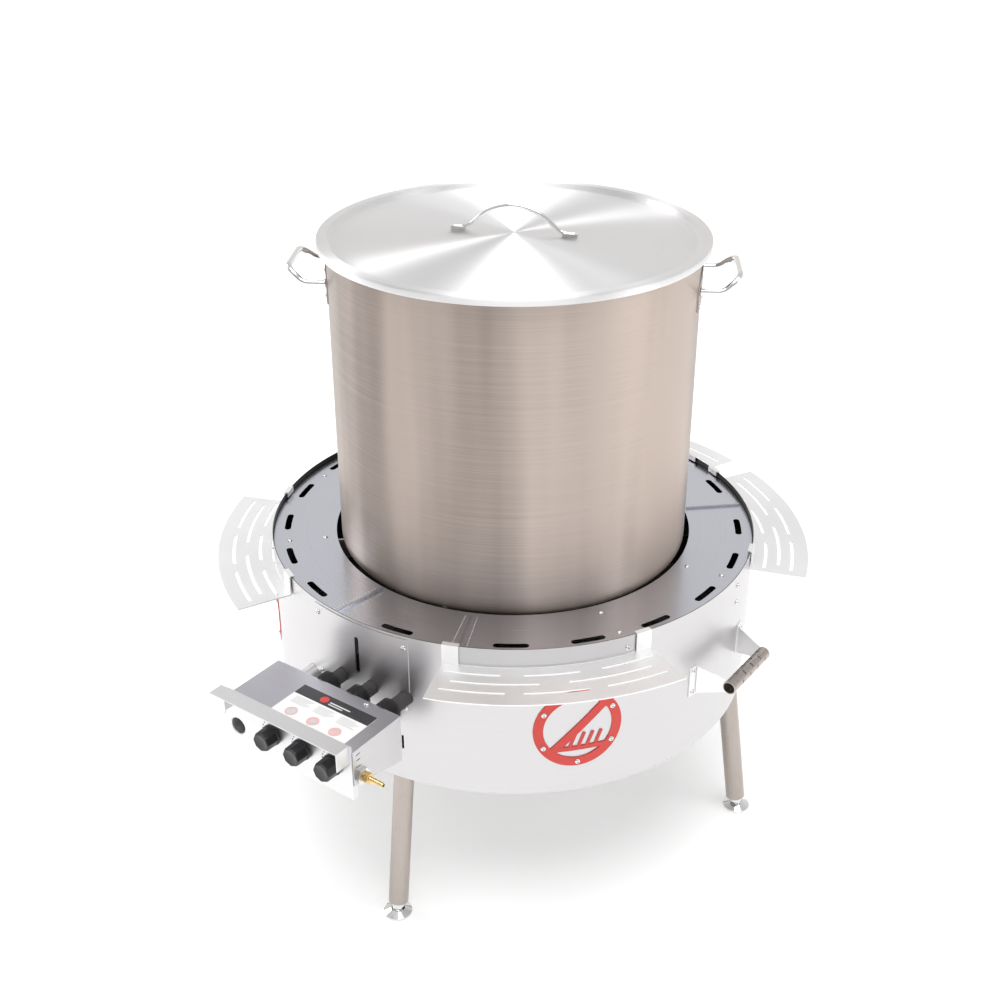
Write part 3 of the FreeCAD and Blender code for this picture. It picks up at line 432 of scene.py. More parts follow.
def coated(name, colour, rough, grain_scale, bump=0.15, coat=0.0, contrast=0.12, glow=0.0):
    """Paint, plastic or print with a fine orange-peel or moulded grain."""
    if name in bpy.data.materials:
        return bpy.data.materials[name]
    made, tree, place, shader = new_material(name)
    grain, bumps = grained(tree, colour, contrast, (rough * 0.85, min(1, rough * 1.2)), bump, 0.0002, {
        "Lay": place, "Place": place, "Fine": grain_scale, "Broad": 25.0})
    fill(tree, shader, {"Coat Weight": coat, "Emission Color": [1, 1, 1, 1], "Emission Strength": glow,
                        "Base Color": grain.outputs["Color"], "Roughness": grain.outputs["Roughness"],
                        "Normal": bumps})
    return made


# how far each axis is squeezed before the brushing is drawn: a high number makes fine lines across it
ALONG_WALL = (3.0, 3.0, 900.0)
ALONG_X = (6.0, 900.0, 900.0)
ALONG_Z = (700.0, 700.0, 8.0)
ROUND_SHEET = (4.0, 4.0, 700.0)
NO_LAY = (120.0, 120.0, 120.0)


def pot_settings():
    return bpy.context.scene.brew_pot


def cooker_settings():
    return bpy.context.scene.brew_cooker


def pot_steel():
    # Painted shade and painted reflection: the wall is a darker, warm copy of the kettle steel, and its broad
    # marks, stretched upright by bands with strong contrast, are painted reflection bands.
    return brushed_metal("wall_brushed_steel", pot_settings().steel, (0.40, 0.48), ALONG_WALL,
                         anisotropy=0.85, contrast=0.42, marks=0.80, broad=1.0, bands=(5.5, 5.5, 0.35))


def lid_steel():
    # Painted light: the lid is a near-white copy of the kettle steel, lighter than the wall where its top faces
    # the light.
    return brushed_metal("lid_spun_steel", pot_settings().lid_steel, (0.46, 0.54), (1.2, 1.2, 0.0),
                         across=1400.0, anisotropy=0.95, contrast=0.03, bump=0.01)


def lit_shelf_steel():
    # Painted light: a lighter copy of the drum's sheet steel for the shelves and brackets.
    return brushed_metal("bright_sheet_steel", cooker_settings().lit_shelf_steel, (0.50, 0.58),
                         ROUND_SHEET, contrast=0.02, broad=2.0, bump=0.003, marks=0.3)


def drum_steel():
    """Bright outside, with near-black painted shade inside the drum."""
    return brushed_metal("drum_sheet_steel", cooker_settings().drum_steel, (0.34, 0.40), ROUND_SHEET,
                         contrast=0.02, broad=2.0, bump=0.003, marks=0.3,
                         inside_shade_reach=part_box("drum_shell")[1].x - DRUM_SKIN)


def cover_steel():
    # Painted shade and painted reflection: a darker, bluish copy of the sheet steel for the ring cover plates.
    return brushed_metal("cover_sheet_steel", cooker_settings().cover_steel, (0.18, 0.30),
                         (3.0, 3.0, 0.0), across=1200.0, contrast=0.04, bump=0.01, anisotropy=0.35)


def panel_steel():
    return brushed_metal("panel_steel", (0.74, 0.74, 0.745), (0.24, 0.34), ALONG_X, contrast=0.08, bump=0.02)


def box_top_steel():
    # Painted shade and painted reflection: a darker, bluish copy of the panel's steel for the box top.
    return brushed_metal("box_top_steel", (0.56, 0.555, 0.60), (0.30, 0.38), ALONG_X, contrast=0.06, bump=0.01)


def pipe_steel():
    return brushed_metal("pipe_linished_steel", (0.43, 0.385, 0.355), (0.25, 0.38), ALONG_Z, contrast=0.08)


def plain_steel():
    return brushed_metal("frame_steel", (0.060, 0.056, 0.052), (0.45, 0.62), NO_LAY, contrast=0.3)


def polished_bar():
    return brushed_metal("polished_bar", (0.72, 0.72, 0.73), (0.07, 0.16), NO_LAY, contrast=0.05, bump=0.01)


def foot_chrome():
    return brushed_metal("foot_chrome", (0.42, 0.435, 0.45), (0.14, 0.24), NO_LAY, contrast=0.1, bump=0.01)


def screw_steel():
    return brushed_metal("screw_steel", (0.62, 0.62, 0.63), (0.14, 0.26), NO_LAY, contrast=0.08)


def brass():
    return brushed_metal("turned_brass", cooker_settings().brass, (0.16, 0.32), NO_LAY, contrast=0.12)


def sign_paint():
    return coated("sign_red_paint", cooker_settings().sign_paint, 0.38, 900.0, coat=0.3, contrast=0.05)


def knob_black():
    return coated("knob_black_plastic", (0.018, 0.018, 0.020), 0.34, 1400.0, contrast=0.25)


def wire_black():
    return coated("black_wire", (0.012, 0.012, 0.013), 0.42, 1800.0)


def burner_iron():
    return coated("cast_burner_iron", (0.045, 0.043, 0.042), 0.72, 300.0, bump=0.8, contrast=0.3)


# ---- the pot and its lid

class BREW_OT_pot(bpy.types.Operator):
    """Make the pot's wall with its rolled rim, and weld beads at the handles"""
    bl_idname = "brew.pot"
    bl_label = "Pot"

    def execute(self, context):
        pot = context.scene.brew_pot
        wall, sheet, foot, bead = POT_WALL, pot.sheet, pot.foot_radius, pot.bead_radius
        low, top = POT_LOW.z, POT_HIGH.z
        inside = wall - sheet
        outline = [(0, low)]
        outline += arc(wall - foot, low + foot, foot, -90, 0, 8)
        outline += [(wall, low + 0.1), (wall, top - 0.12), (wall, top - 0.006)]
        outline += arc(wall + 0.0022, top - bead, bead, -120, 150, 14)
        outline += [(inside, top - bead), (inside, low + foot + 0.002)]
        outline += arc(inside - foot, low + foot + 0.002, foot, 0, -90, 6)
        outline += [(0, low + 0.002)]
        make_piece("pot_wall", lambda bm: lathe(bm, outline, pot.segments, closed=False), 40,
                   pot_steel(), "kettle_steel", "kettle", "kettle_body")
        self.make_beads()
        return {"FINISHED"}

    def make_beads(self):
        """Round welds where each handle tube meets its plate."""
        def build(bm):
            for side in ("right", "left"):
                points = [vert.co for vert in NODES["kettle_handle_" + side].data.vertices]
                for group in self.roots(points):
                    middle = sum(group, Vector()) / len(group)
                    out = outward(middle)
                    across = Vector((-out.y, out.x, 0))
                    near = min(group, key=lambda point: point.xy.length)
                    away = near.dot(out) + 0.0012
                    centre = out * away + across * middle.dot(across) + Vector((0, 0, middle.z))
                    ring = arc(0.0056, 0.0, 0.0016, 0, 360, 8)[:-1]
                    lathe(bm, ring, 28, turn_to(out, centre))
        make_piece("handle_welds", build, 60, screw_steel(), "screw_steel", "kettle")

    @staticmethod
    def roots(points):
        """The ends of both arms, split by their side of the handle."""
        near = min(point.xy.length for point in points) + 0.012
        ends = [point for point in points if point.xy.length < near]
        middle = sum(points, Vector()) / len(points)
        across = Vector((-middle.y, middle.x, 0)).normalized()
        return [[point for point in ends if side * point.dot(across) > 0.02] for side in (-1, 1)]


class BREW_OT_lid(bpy.types.Operator):
    """Make the spun lid with its sunk middle, ring bead and turned lip"""
    bl_idname = "brew.lid"
    bl_label = "Lid"

    def execute(self, context):
        pot = context.scene.brew_pot
        top, outer, sheet = LID_HIGH.z, LID_HIGH.x, pot.sheet
        well, drop, crown, bend = 0.2935, 0.010, 0.0013, 0.0022
        lip = LID_LOW.z
        face = [(0, top - crown), (0.06, top - crown - 0.0004), (0.16, top - crown - 0.0026),
                (0.25, top - crown - 0.0066), (well - 0.010, top - drop)]
        face += arc(well - 0.003, top - drop + 0.003, 0.003, -90, -10, 5)
        face += arc(well + 0.0045, top - bend, bend, 170, 90, 5)
        face += arc(outer - 0.003, top - 0.003, 0.003, 90, 0, 5)
        face += arc(outer - 0.0009, lip + 0.0011, 0.0009, 0, -180, 6)
        face += [(outer - sheet - 0.0003, top - 0.004), (well + 0.006, top - sheet),
                 (well + 0.0015, top - sheet - 0.002), (well - 0.001, top - drop - sheet),
                 (0.25, top - crown - 0.0066 - sheet), (0.16, top - crown - 0.0026 - sheet),
                 (0, top - crown - sheet)]
        make_piece("lid_disc", lambda bm: lathe(bm, face, pot.segments, closed=False), 40,
                   lid_steel(), "kettle_steel", "lid", "lid_shell")
        self.make_welds()
        return {"FINISHED"}

    def make_welds(self):
        """Two spot welds on each foot of the bow handle."""
        points = [vert.co for vert in NODES["lid_handle"].data.vertices]
        along = max(points, key=lambda point: point.xy.length)
        way = outward(along)
        height = max(point.z for point in points if point.xy.length > 0.099)

        def build(bm):
            for side in (-1, 1):
                for reach in (0.087, 0.098):
                    dome = [(0, 0.0008), (0.0011, 0.0006), (0.0018, 0.0), (0, -0.0004)]
                    lathe(bm, dome, 16, Matrix.Translation(way * side * reach + Vector((0, 0, height))),
                          closed=False)
        make_piece("lid_handle_welds", build, 60, screw_steel(), "screw_steel", "lid")


# ---- the control box

class BREW_OT_knobs(bpy.types.Operator):
    """Make the fluted tap knobs"""
    bl_idname = "brew.knobs"
    bl_label = "Tap Knobs"
    swell = 1.06

    def execute(self, context):
        for index, node in enumerate(KNOBS, start=1):
            low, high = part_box(node)
            middle = (low + high) / 2
            radius = (high.z - low.z) / 2 * self.swell
            depth = high.y - low.y
            place = turn_to((0, -1, 0), Vector((middle.x, high.y, middle.z)))
            make_piece("knob_%d" % index, lambda bm: self.build(bm, radius, depth, place), 30,
                       knob_black(), "knob_black", "knob_%d" % index, node)
        return {"FINISHED"}

    def build(self, bm, radius, depth, place):
        """A skirt, a fluted grip and a bevelled, slightly dished face."""
        sides = cooker_settings().knob_flutes
        outline = [(0, 0), (radius * 0.98, 0), (radius, 0.0012), (radius * 0.97, 0.0035),
                   (radius * 0.93, 0.0045), (radius * 0.91, depth - 0.0032),
                   (radius * 0.85, depth - 0.0006), (radius * 0.80, depth),
                   (radius * 0.74, depth - 0.0004), (0, depth - 0.0016)]
        rings = []
        count = sides * 12
        for reach, height in outline:
            if reach == 0:
                rings.append([bm.verts.new(place @ Vector((0, 0, height)))])
                continue
            ring = []
            for step in range(count):
                turn = 2 * math.pi * (step + 0.5) / count
                flat = math.cos(math.pi / sides) / math.cos((turn % (2 * math.pi / sides)) - math.pi / sides)
                blend = 0.0 if height < 0.004 else 1.0
                here = reach * (1 - blend + blend * min(1.0, flat * 1.015))
                point = Vector((here * math.cos(turn), here * math.sin(turn), height))
                ring.append(bm.verts.new(place @ point))
            rings.append(ring)
        skin(bm, zip(rings, rings[1:]), count)


class BREW_OT_panel_marks(bpy.types.Operator):
    """Print the dots and index lines over the knobs"""
    bl_idname = "brew.panel_marks"
    bl_label = "Panel Marks"

    def execute(self, context):
        ink = coated("panel_ink", (0.03, 0.03, 0.03), 0.5, 900.0)
        front, ink_depth, dot_circle = PANEL_FRONT, 0.0002, 0.0225

        def dot(bm, radius, segments, centre):
            outline = [(0, ink_depth), (radius, ink_depth), (radius, -ink_depth), (0, -ink_depth)]
            lathe(bm, outline, segments, turn_to((0, -1, 0), centre), closed=False)

        def build(bm):
            for node in KNOBS:
                low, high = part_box(node)
                x, top = (low.x + high.x) / 2, high.z
                slab(bm, (x - 0.0006, front - ink_depth, top + 0.003),
                     (x + 0.0006, front + ink_depth, top + 0.012))
                dot(bm, 0.0016, 20, Vector((x - 0.010, front, top + 0.0075)))
                for step in range(5):
                    turn = math.radians(112 + 16 * step)
                    centre = Vector((x + dot_circle * math.cos(turn), front,
                                     (low.z + high.z) / 2 + dot_circle * math.sin(turn)))
                    dot(bm, 0.0007 + 0.0002 * step, 12, centre)
        make_piece("panel_marks", build, None, ink, "label_film", "stand")
        return {"FINISHED"}


class BREW_OT_label(bpy.types.Operator):
    """Print the film label on the control box with plain signs and no lettering"""
    bl_idname = "brew.label"
    bl_label = "Box Label"

    def execute(self, context):
        low, high = LABEL_LOW, LABEL_HIGH
        split = high.y - (high.y - low.y) * 0.30
        skin = high.z + 0.0001

        def build(bm):
            slab(bm, low, high, 0)
            slab(bm, (low.x + 0.0002, split, low.z), (high.x - 0.0002, high.y - 0.0002, skin), 1)
            self.ring(bm, (low.x + 0.052, (split + high.y) / 2), 0.0, 0.0075, skin, 2)
            slab(bm, (low.x + 0.064, split + 0.010, low.z), (low.x + 0.104, split + 0.0125, skin + 0.0001), 3)
            slab(bm, (low.x + 0.064, split + 0.0055, low.z), (low.x + 0.092, split + 0.0075, skin + 0.0001), 3)
            for step in range(3):
                centre = (low.x + 0.030 + 0.044 * step, low.y + 0.017)
                for inner, outer in ((0.0085, 0.0096), (0.0055, 0.0066), (0.0022, 0.0034)):
                    self.ring(bm, centre, inner, outer, skin, 2 if outer > 0.009 - 0.003 * step else 4)
            for row in range(5):
                y = split - 0.006 - 0.0035 * row
                for column in range(3):
                    x = low.x + 0.010 + 0.046 * column
                    slab(bm, (x, y, low.z), (x + 0.036 - 0.004 * ((row + column) % 3), y + 0.0008, skin), 4)
        label = mesh_object("box_label", build)
        for material in (coated("film_white", (0.86, 0.86, 0.85), 0.32, 700.0, coat=0.2, contrast=0.02),
                         coated("film_black", (0.03, 0.03, 0.034), 0.3, 700.0, coat=0.2),
                         coated("film_red", (0.62, 0.05, 0.04), 0.34, 700.0, coat=0.2),
                         coated("film_print", (0.7, 0.7, 0.7), 0.34, 700.0),
                         coated("film_grey", (0.30, 0.30, 0.31), 0.4, 700.0)):
            label.data.materials.append(material)
        finish_piece(label, None, "label_film", "stand", "instruction_label")
        return {"FINISHED"}

    @staticmethod
    def ring(bm, centre, inner, outer, top, material):
        """A flat printed ring or disc."""
        before = set(bm.faces)
        place = Matrix.Translation((centre[0], centre[1], top))
        outline = [(inner, 0.0), (outer, 0.0), (outer, 0.00015), (inner, 0.00015)]
        lathe(bm, outline, 32, place, closed=inner > 0)
        for face in set(bm.faces) - before:
            face.material_index = material


class BREW_OT_hose_tail(bpy.types.Operator):
    """Make the barbed brass hose tail with its collar and hexagon"""
    bl_idname = "brew.hose_tail"
    bl_label = "Hose Tail"

    def execute(self, context):
        low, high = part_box("hose_tail")
        y, z = (low.y + high.y) / 2, (low.z + high.z) / 2
        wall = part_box("control_box")[1].x
        place = turn_to((1, 0, 0), Vector((0, y, z)))

        def build(bm):
            collar = [(0.0025, low.x), (0.0069, low.x), (0.0069, wall), (0.008, wall + 0.0004),
                      (0.008, wall + 0.0066), (0.0074, wall + 0.007), (0.0025, wall + 0.007)]
            lathe(bm, collar, 40, place)
            self.hexagon(bm, wall + 0.007, wall + 0.017, 0.0094, place)
            start, end = wall + 0.017, high.x
            outline = [(0.0025, start - 0.001), (0.0046, start - 0.001), (0.0036, start + 0.002)]
            step = (end - start - 0.003) / 5
            for barb in range(5):
                at = start + 0.003 + barb * step
                outline += [(0.0041, at), (0.0034, at + step * 0.86)]
            outline += [(0.0032, end), (0.0025, end)]
            lathe(bm, outline, 36, place)
        make_piece("barbed_hose_tail", build, 30, brass(), "brass", "stand", "hose_tail")
        return {"FINISHED"}

    @staticmethod
    def hexagon(bm, start, end, corner, place):
        """A hexagon with turned-down corners at both ends."""
        trim = 0.0009
        rings = []
        for along, reach in ((start, corner * 0.87), (start + trim, corner), (end - trim, corner),
                             (end, corner * 0.87)):
            rings.append([bm.verts.new(place @ Vector((x, y, along))) for x, y in hexagon_points(reach)])
        prism(bm, rings)


# ---- what repeats

def geometry_tree(name, sockets):
    """An empty geometry tree with named inputs, one geometry out."""
    tree = bpy.data.node_groups.new(name, "GeometryNodeTree")
    tree.interface.new_socket(name="Geometry", in_out="INPUT", socket_type="NodeSocketGeometry")
    for label, kind in sockets:
        tree.interface.new_socket(name=label, in_out="INPUT", socket_type="NodeSocket" + kind)
    tree.interface.new_socket(name="Geometry", in_out="OUTPUT", socket_type="NodeSocketGeometry")
    return tree, tree.nodes.new("NodeGroupInput"), tree.nodes.new("NodeGroupOutput")


def run_tree(name, host, tree, values):
    """Evaluates a geometry tree on a host and keeps the result as a plain mesh."""
    modifier = host.modifiers.new(name, "NODES")
    modifier.node_group = tree
    for item in tree.interface.items_tree:
        if item.in_out == "INPUT" and item.name in values:
            modifier[item.identifier] = values[item.name]
    bpy.context.view_layer.update()
    evaluated = host.evaluated_get(bpy.context.evaluated_depsgraph_get())
    mesh = bpy.data.meshes.new_from_object(evaluated)
    mesh.name = name
    host.modifiers.remove(modifier)
    bpy.data.objects.remove(host)
    return new_object(name, mesh)


def repeat_tree():
    """Copies of a small shape on points, each turned to its point's own direction."""
    if "Set Out On Points" in bpy.data.node_groups:
        return bpy.data.node_groups["Set Out On Points"]
    tree, entry, leave = geometry_tree("Set Out On Points", [
        ("Shape", "Object"), ("Size", "Float"), ("Finish", "Material")])
    ways = add(tree, "GeometryNodeInputNamedAttribute", {"Name": "way"}, data_type="FLOAT_VECTOR")
    turn = add(tree, "FunctionNodeAlignRotationToVector", {"Vector": ways.outputs[0]}, axis="Z")
    shape = add(tree, "GeometryNodeObjectInfo", {"Object": entry.outputs["Shape"]})
    copies = add(tree, "GeometryNodeInstanceOnPoints", {
        "Points": entry.outputs["Geometry"], "Instance": shape.outputs["Geometry"],
        "Rotation": turn.outputs[0], "Scale": entry.outputs["Size"]})
    solid = add(tree, "GeometryNodeRealizeInstances", {"Geometry": copies.outputs[0]})
    finish = add(tree, "GeometryNodeSetMaterial", {"Geometry": solid.outputs[0],
                                                   "Material": entry.outputs["Finish"]})
    fill(tree, leave, {0: finish.outputs[0]})
    return tree


def set_out(name, places, build, size, body, *stands_for):
    """One mesh of steel copies of a shape on (place, direction) pairs, hung on its body."""
    shape = mesh_object(name + "_shape", build)
    smooth(shape, 35)
    mesh = bpy.data.meshes.new(name + "_points")
    mesh.from_pydata([place for place, way in places], [], [])
    attribute = mesh.attributes.new("way", "FLOAT_VECTOR", "POINT")
    for index, (place, way) in enumerate(places):
        attribute.data[index].vector = way
    host = new_object(name + "_host", mesh)
    piece = run_tree(name, host, repeat_tree(), {"Shape": shape, "Size": size, "Finish": screw_steel()})
    bpy.data.objects.remove(shape)
    finish_piece(piece, None, "screw_steel", body, *stands_for)


def socket_head(bm):
    """A domed head with a six-sided recess, one unit in radius, seated at zero."""
    recess, depth, top = 0.42, 0.32, 0.56
    outline = [(0.55, -1.6), (0.55, 0.0), (1.0, 0.0), (1.0, 0.10), (0.93, 0.30), (0.74, 0.48), (0.5, top)]
    lathe(bm, [(0, -1.6)] + outline, 24, closed=False)
    outer = [vert for vert in bm.verts if abs(vert.co.z - top) < 1e-6]
    outer.sort(key=lambda vert: math.atan2(vert.co.y, vert.co.x))
    turns = [math.radians(15 * step) for step in range(24)]
    rim = [bm.verts.new((recess * math.cos(turn) * hexed(step), recess * math.sin(turn) * hexed(step), top))
           for step, turn in enumerate(turns)]
    rim.sort(key=lambda vert: math.atan2(vert.co.y, vert.co.x))
    floor = [bm.verts.new((vert.co.x, vert.co.y, top - depth)) for vert in rim]
    for step in range(24):
        after = (step + 1) % 24
        bm.faces.new([outer[step], outer[after], rim[after], rim[step]])
        bm.faces.new([rim[step], rim[after], floor[after], floor[step]])
    bm.faces.new(floor)


def hexed(step):
    """How far a hexagon lies inside its corner circle, every 15 degrees."""
    turn = math.radians((15 * step) % 60 - 30)
    return math.cos(math.radians(30)) / math.cos(turn)


def rivet_head(bm):
    """A low domed head, one unit in radius."""
    outline = [(0, -0.5), (0.45, -0.5), (0.45, 0.0), (1.0, 0.0), (0.97, 0.14), (0.80, 0.34), (0.5, 0.48),
               (0, 0.56)]
    lathe(bm, outline, 20, closed=False)


class BREW_OT_fasteners(bpy.types.Operator):
    """Set out the screws, rivets and spot welds"""
    bl_idname = "brew.fasteners"
    bl_label = "Fasteners"

    def execute(self, context):
        size = context.scene.brew_cooker.head_radius
        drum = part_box("drum_shell")[1].x
        box_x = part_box("control_box")[1].x
        screws = []
        for points in islands("machine_screws"):
            middle = middle_of(points)
            if middle.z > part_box("control_box_cover")[0].z - 0.01 and middle.y < -0.45:
                place = Vector((middle.x, middle.y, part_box("control_box_cover")[1].z))
                screws.append((place, UP))
            elif middle.x > box_x - 0.01 and middle.y < -0.5:
                seat = Vector((box_x, middle.y, middle.z))
            else:
                way = outward(middle)
                reach = max(point.dot(way) for point in points) - 0.0026
                screws.append((way * max(reach, drum) + Vector((0, 0, middle.z)), way))
        set_out("round_screws", screws, socket_head, size, "stand", "machine_screws")
        make_piece("inlet_nut", lambda bm: self.nut(bm, seat), None, screw_steel(), "screw_steel", "stand")

        covers = []
        for points in islands("ring_cover_screws"):
            middle = middle_of(points)
            covers.append((Vector((middle.x, middle.y, COVER_TOP)), UP))
        set_out("cover_rivets", covers, rivet_head, size * 0.95, "stand", "ring_cover_screws")

        rivets = []
        for points in islands("kettle_rivets"):
            middle = middle_of(points)
            way = outward(middle)
            rivets.append((way * (min(point.dot(way) for point in points)) + Vector((0, 0, middle.z)), way))
        set_out("pot_rivets", rivets, rivet_head, size, "kettle", "kettle_rivets")
        self.spot_welds()
        return {"FINISHED"}

    @staticmethod
    def nut(bm, seat):
        """A flat hexagon nut on the inlet."""
        rings = []
        for along, reach in ((0.0002, 0.014), (0.0056, 0.014), (0.006, 0.0135)):
            rings.append([bm.verts.new(seat + Vector((along, y, z))) for y, z in hexagon_points(reach)])
        prism(bm, rings)

    @staticmethod
    def spot_welds():
        """Rows of small weld dimples beside the front plate's seams."""
        seams = (-96.9, -66.3)
        beside, first, pitch = 1.7, 0.322, 0.0065
        places = []
        for seam in seams:
            for side in (-beside, beside):
                turn = math.radians(seam + side)
                for step in range(14):
                    reach = first + pitch * step
                    place = Vector((reach * math.cos(turn), reach * math.sin(turn), COVER_TOP))
                    places.append((place, UP))
        set_out("seam_welds", places, rivet_head, 0.0011, "stand")


class BREW_OT_air_screens(bpy.types.Operator):
    """Weave the black wire screens round the air inlets"""
    bl_idname = "brew.air_screens"
    bl_label = "Air Screens"

    def execute(self, context):
        cooker = context.scene.brew_cooker
        tree = self.tree()
        for index, node in enumerate(SCREENS, start=1):
            low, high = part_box(node)
            middle = (low + high) / 2
            host = new_object("screen_host", bpy.data.meshes.new("screen_host"))
            radius = (high.x - low.x) / 2 - 2 * cooker.wire_radius
            values = {"Radius": radius, "Length": high.y - low.y - 0.001, "Wire": cooker.wire_radius,
                      "Round": cooker.wires_round, "Rings": cooker.wire_rings, "Finish": wire_black()}
            screen = run_tree("wire_screen_%d" % index, host, tree, values)
            place = turn_to((0, 1, 0), Vector((middle.x, low.y + 0.0005, middle.z)))
            screen.data.transform(place)
            finish_piece(screen, None, "black_mesh", "stand", node)
        return {"FINISHED"}

    @staticmethod
    def tree():
        """Hoops along the axis and straight wires round it, swept as wire."""
        tree, entry, leave = geometry_tree("Woven Sleeve", [
            ("Radius", "Float"), ("Length", "Float"), ("Wire", "Float"),
            ("Round", "Int"), ("Rings", "Int"), ("Finish", "Material")])
        ins = entry.outputs
        hoop = add(tree, "GeometryNodeCurvePrimitiveCircle", {"Resolution": 40, "Radius": ins["Radius"]})
        step = add(tree, "ShaderNodeMath", {0: ins["Length"], 1: ins["Rings"]}, operation="DIVIDE")
        rise = add(tree, "ShaderNodeCombineXYZ", {"Z": step.outputs[0]})
        spine = add(tree, "GeometryNodeMeshLine", {"Count": ins["Rings"], "Offset": rise.outputs[0]})
        hoops = add(tree, "GeometryNodeInstanceOnPoints", {"Points": spine.outputs[0],
                                                           "Instance": hoop.outputs[0]})
        round_points = add(tree, "GeometryNodeMeshCircle", {"Vertices": ins["Round"], "Radius": ins["Radius"]})
        end = add(tree, "ShaderNodeCombineXYZ", {"Z": ins["Length"]})
        straight = add(tree, "GeometryNodeCurvePrimitiveLine", {"End": end.outputs[0]})
        wires = add(tree, "GeometryNodeInstanceOnPoints", {"Points": round_points.outputs[0],
                                                           "Instance": straight.outputs[0]})
        both = add(tree, "GeometryNodeJoinGeometry")
        tree.links.new(hoops.outputs[0], both.inputs[0])
        tree.links.new(wires.outputs[0], both.inputs[0])
        solid = add(tree, "GeometryNodeRealizeInstances", {"Geometry": both.outputs[0]})
        section = add(tree, "GeometryNodeCurvePrimitiveCircle", {"Resolution": 5, "Radius": ins["Wire"]})
        swept = add(tree, "GeometryNodeCurveToMesh", {"Curve": solid.outputs[0],
                                                      "Profile Curve": section.outputs[0], "Fill Caps": True})
        finish = add(tree, "GeometryNodeSetMaterial", {"Geometry": swept.outputs[0],
                                                       "Material": ins["Finish"]})
        tree.links.new(finish.outputs[0], leave.inputs[0])
        return tree


# ---- finishes and stage

def finishes():
    """Which finish each kind of carried-over part takes."""
    return [
        (("kettle_base", "kettle_handle_plates"), pot_steel()),
        (("lid_handle", "kettle_handle_right", "kettle_handle_left"), polished_bar()),
        (("levelling_foot",), foot_chrome()),
        (("drum_shell", "control_cover_plate", "control_box", "box_arms"), drum_steel()),
        (("side_shelf", "drum_handle_brackets"), lit_shelf_steel()),
        (("ring_cover_front", "ring_cover_right", "ring_cover_rear", "ring_cover_left"), cover_steel()),
        (("control_panel", "knob_guard", "lighting_port"), panel_steel()),
        (("control_box_cover",), box_top_steel()),
        (("leg_", "drum_handle_right", "drum_handle_left", "gas_rail"), pipe_steel()),
        (("base_frame", "pan_support", "cover_brackets"), plain_steel()),
        (("ring_burner",), burner_iron()),
        (("gas_tap", "gas_jets", "tap_spindle"), brass()),
        (("hot_surface_signs",), sign_paint()),
    ]


class BREW_OT_finishes(bpy.types.Operator):
    """Give every carried-over part its finish"""
    bl_idname = "brew.finishes"
    bl_label = "Finishes"

    def execute(self, context):
        for names, material in finishes():
            for node, piece in NODES.items():
                if node.startswith(names):
                    self.coat(piece, material)
        return {"FINISHED"}

    @staticmethod
    def coat(piece, material):
        """Puts one material in every slot of a part."""
        if not piece.material_slots:
            piece.data.materials.append(material)
        for slot in piece.material_slots:
            slot.material = material


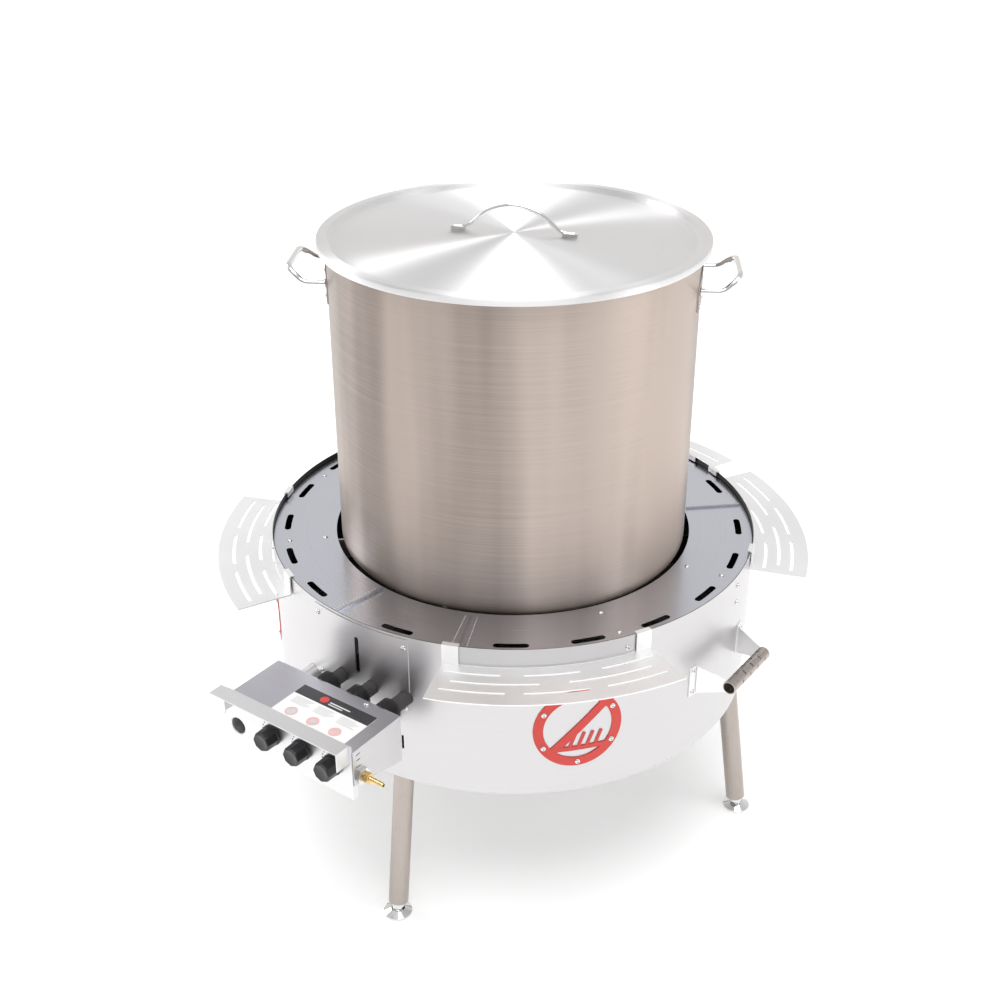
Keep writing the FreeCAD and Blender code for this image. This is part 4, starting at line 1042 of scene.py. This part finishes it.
class BREW_OT_stage(bpy.types.Operator):
    """Lay the floor and set the camera, the sky and the lights"""
    bl_idname = "brew.stage"
    bl_label = "Stage"

    def execute(self, context):
        stage = context.scene.brew_stage
        half = stage.floor_size / 2

        def build(bm):
            corners = [bm.verts.new((x * half, y * half, 0)) for x, y in ((-1, -1), (1, -1), (1, 1), (-1, 1))]
            bm.faces.new(corners)
        floor = mesh_object("studio_floor", build)
        floor.data.materials.append(coated("studio_floor", (0.94, 0.94, 0.94), 0.85, 40.0, bump=0.02,
                                           contrast=0.01, glow=0.2))
        camera = new_object("camera", bpy.data.cameras.new("camera"))
        camera.data.lens = stage.lens
        camera.data.sensor_width = 36.0
        camera.data.clip_start = 0.05
        camera.location = stage.eye
        camera.rotation_euler = (stage.tilt, 0.0, stage.heading)
        context.scene.camera = camera
        context.scene.view_settings.view_transform = "Standard"
        self.sky(context.scene)
        self.overhead()
        for name, place, size, power in (("left_softbox", (-3.0, -0.6, 2.0), 1.4, 22),
                                         ("right_softbox", (3.0, 0.8, 2.2), 1.4, 10)):
            self.softbox(name, place, size, power)
        return {"FINISHED"}

    @staticmethod
    def overhead():
        """A broad even light from above that whitens the floor."""
        lamp = bpy.data.lights.new("overhead", "SUN")
        lamp.energy = 1.7
        lamp.angle = math.radians(46)
        light = new_object("overhead", lamp)
        light.rotation_euler = Vector((-0.12, 0.16, -1)).to_track_quat("-Z", "Y").to_euler()

    @staticmethod
    def softbox(name, place, size, power):
        """A square soft light aimed at the middle of the object."""
        lamp = bpy.data.lights.new(name, "AREA")
        lamp.shape = "SQUARE"
        lamp.size = size
        lamp.energy = power
        light = new_object(name, lamp)
        light.location = place
        aim = Vector((0, 0, 0.6)) - Vector(place)
        light.rotation_euler = aim.to_track_quat("-Z", "Y").to_euler()

    @staticmethod
    def sky(scene):
        """A white room with a few soft dark flags that give the steel its bands."""
        world = bpy.data.worlds.new("studio")
        scene.world = world
        world.use_nodes = True
        tree = world.node_tree
        tree.nodes.clear()
        way = add(tree, "ShaderNodeSeparateXYZ", {0: add(tree, "ShaderNodeTexCoord").outputs["Generated"]})
        turn = math_node(tree, "ARCTAN2", way.outputs[1], way.outputs[0])
        share = add(tree, "ShaderNodeMapRange", {"Value": turn, "From Min": -math.pi, "From Max": math.pi})
        ramp = add(tree, "ShaderNodeValToRGB", {"Fac": share.outputs[0]})
        stops = [(0.0, 0.62), (0.07, 0.85), (0.14, 0.25), (0.21, 0.62), (0.27, 0.30), (0.33, 0.34),
                 (0.39, 0.66), (0.46, 0.22), (0.54, 0.58), (0.62, 0.95), (0.75, 0.8), (0.88, 0.95), (1.0, 0.62)]
        ramp.color_ramp.interpolation = "B_SPLINE"
        while len(ramp.color_ramp.elements) < len(stops):
            ramp.color_ramp.elements.new(0.5)
        for element, (place, value) in zip(ramp.color_ramp.elements, stops):
            element.position = place
            element.color = (value, value * 0.975, value * 0.945, 1)
        up = add(tree, "ShaderNodeMapRange", {"Value": way.outputs[2], "From Min": 0.25, "From Max": 0.8})
        dome = mix_node(tree, up.outputs[0], ramp.outputs[0], (0.66, 0.66, 0.67, 1))
        to_eye = add(tree, "ShaderNodeLightPath").outputs["Is Camera Ray"]
        seen = mix_node(tree, to_eye, dome, (1.0, 1.0, 1.0, 1))
        back = add(tree, "ShaderNodeBackground", {"Color": seen, "Strength": 1.0})
        add(tree, "ShaderNodeOutputWorld", {"Surface": back.outputs[0]})


# ---- panel and running

STEPS = ("finishes", "pot", "lid", "knobs", "panel_marks", "label", "hose_tail", "fasteners", "air_screens",
         "stage")


class BREW_PT_panel(bpy.types.Panel):
    """Lists the kettle's pieces in the order they are made"""
    bl_idname = "BREW_PT_panel"
    bl_label = "Brew Kettle"
    bl_space_type = "VIEW_3D"
    bl_region_type = "UI"
    bl_category = "Brew Kettle"

    def draw(self, context):
        for step in STEPS:
            self.layout.operator("brew." + step)


CLASSES = (PotSettings, CookerSettings, StageSettings, BREW_OT_finishes, BREW_OT_pot, BREW_OT_lid,
           BREW_OT_knobs, BREW_OT_panel_marks, BREW_OT_label, BREW_OT_hose_tail, BREW_OT_fasteners,
           BREW_OT_air_screens, BREW_OT_stage, BREW_PT_panel)


def register():
    for one in CLASSES:
        bpy.utils.register_class(one)
    bpy.types.Scene.brew_pot = PointerProperty(type=PotSettings)
    bpy.types.Scene.brew_cooker = PointerProperty(type=CookerSettings)
    bpy.types.Scene.brew_stage = PointerProperty(type=StageSettings)


def unregister():
    del bpy.types.Scene.brew_stage
    del bpy.types.Scene.brew_cooker
    del bpy.types.Scene.brew_pot
    for one in reversed(CLASSES):
        bpy.utils.unregister_class(one)


def main():
    """Makes every piece in order."""
    register()
    for step in STEPS:
        getattr(bpy.ops.brew, step)()


if __name__ == "__main__":
    main()
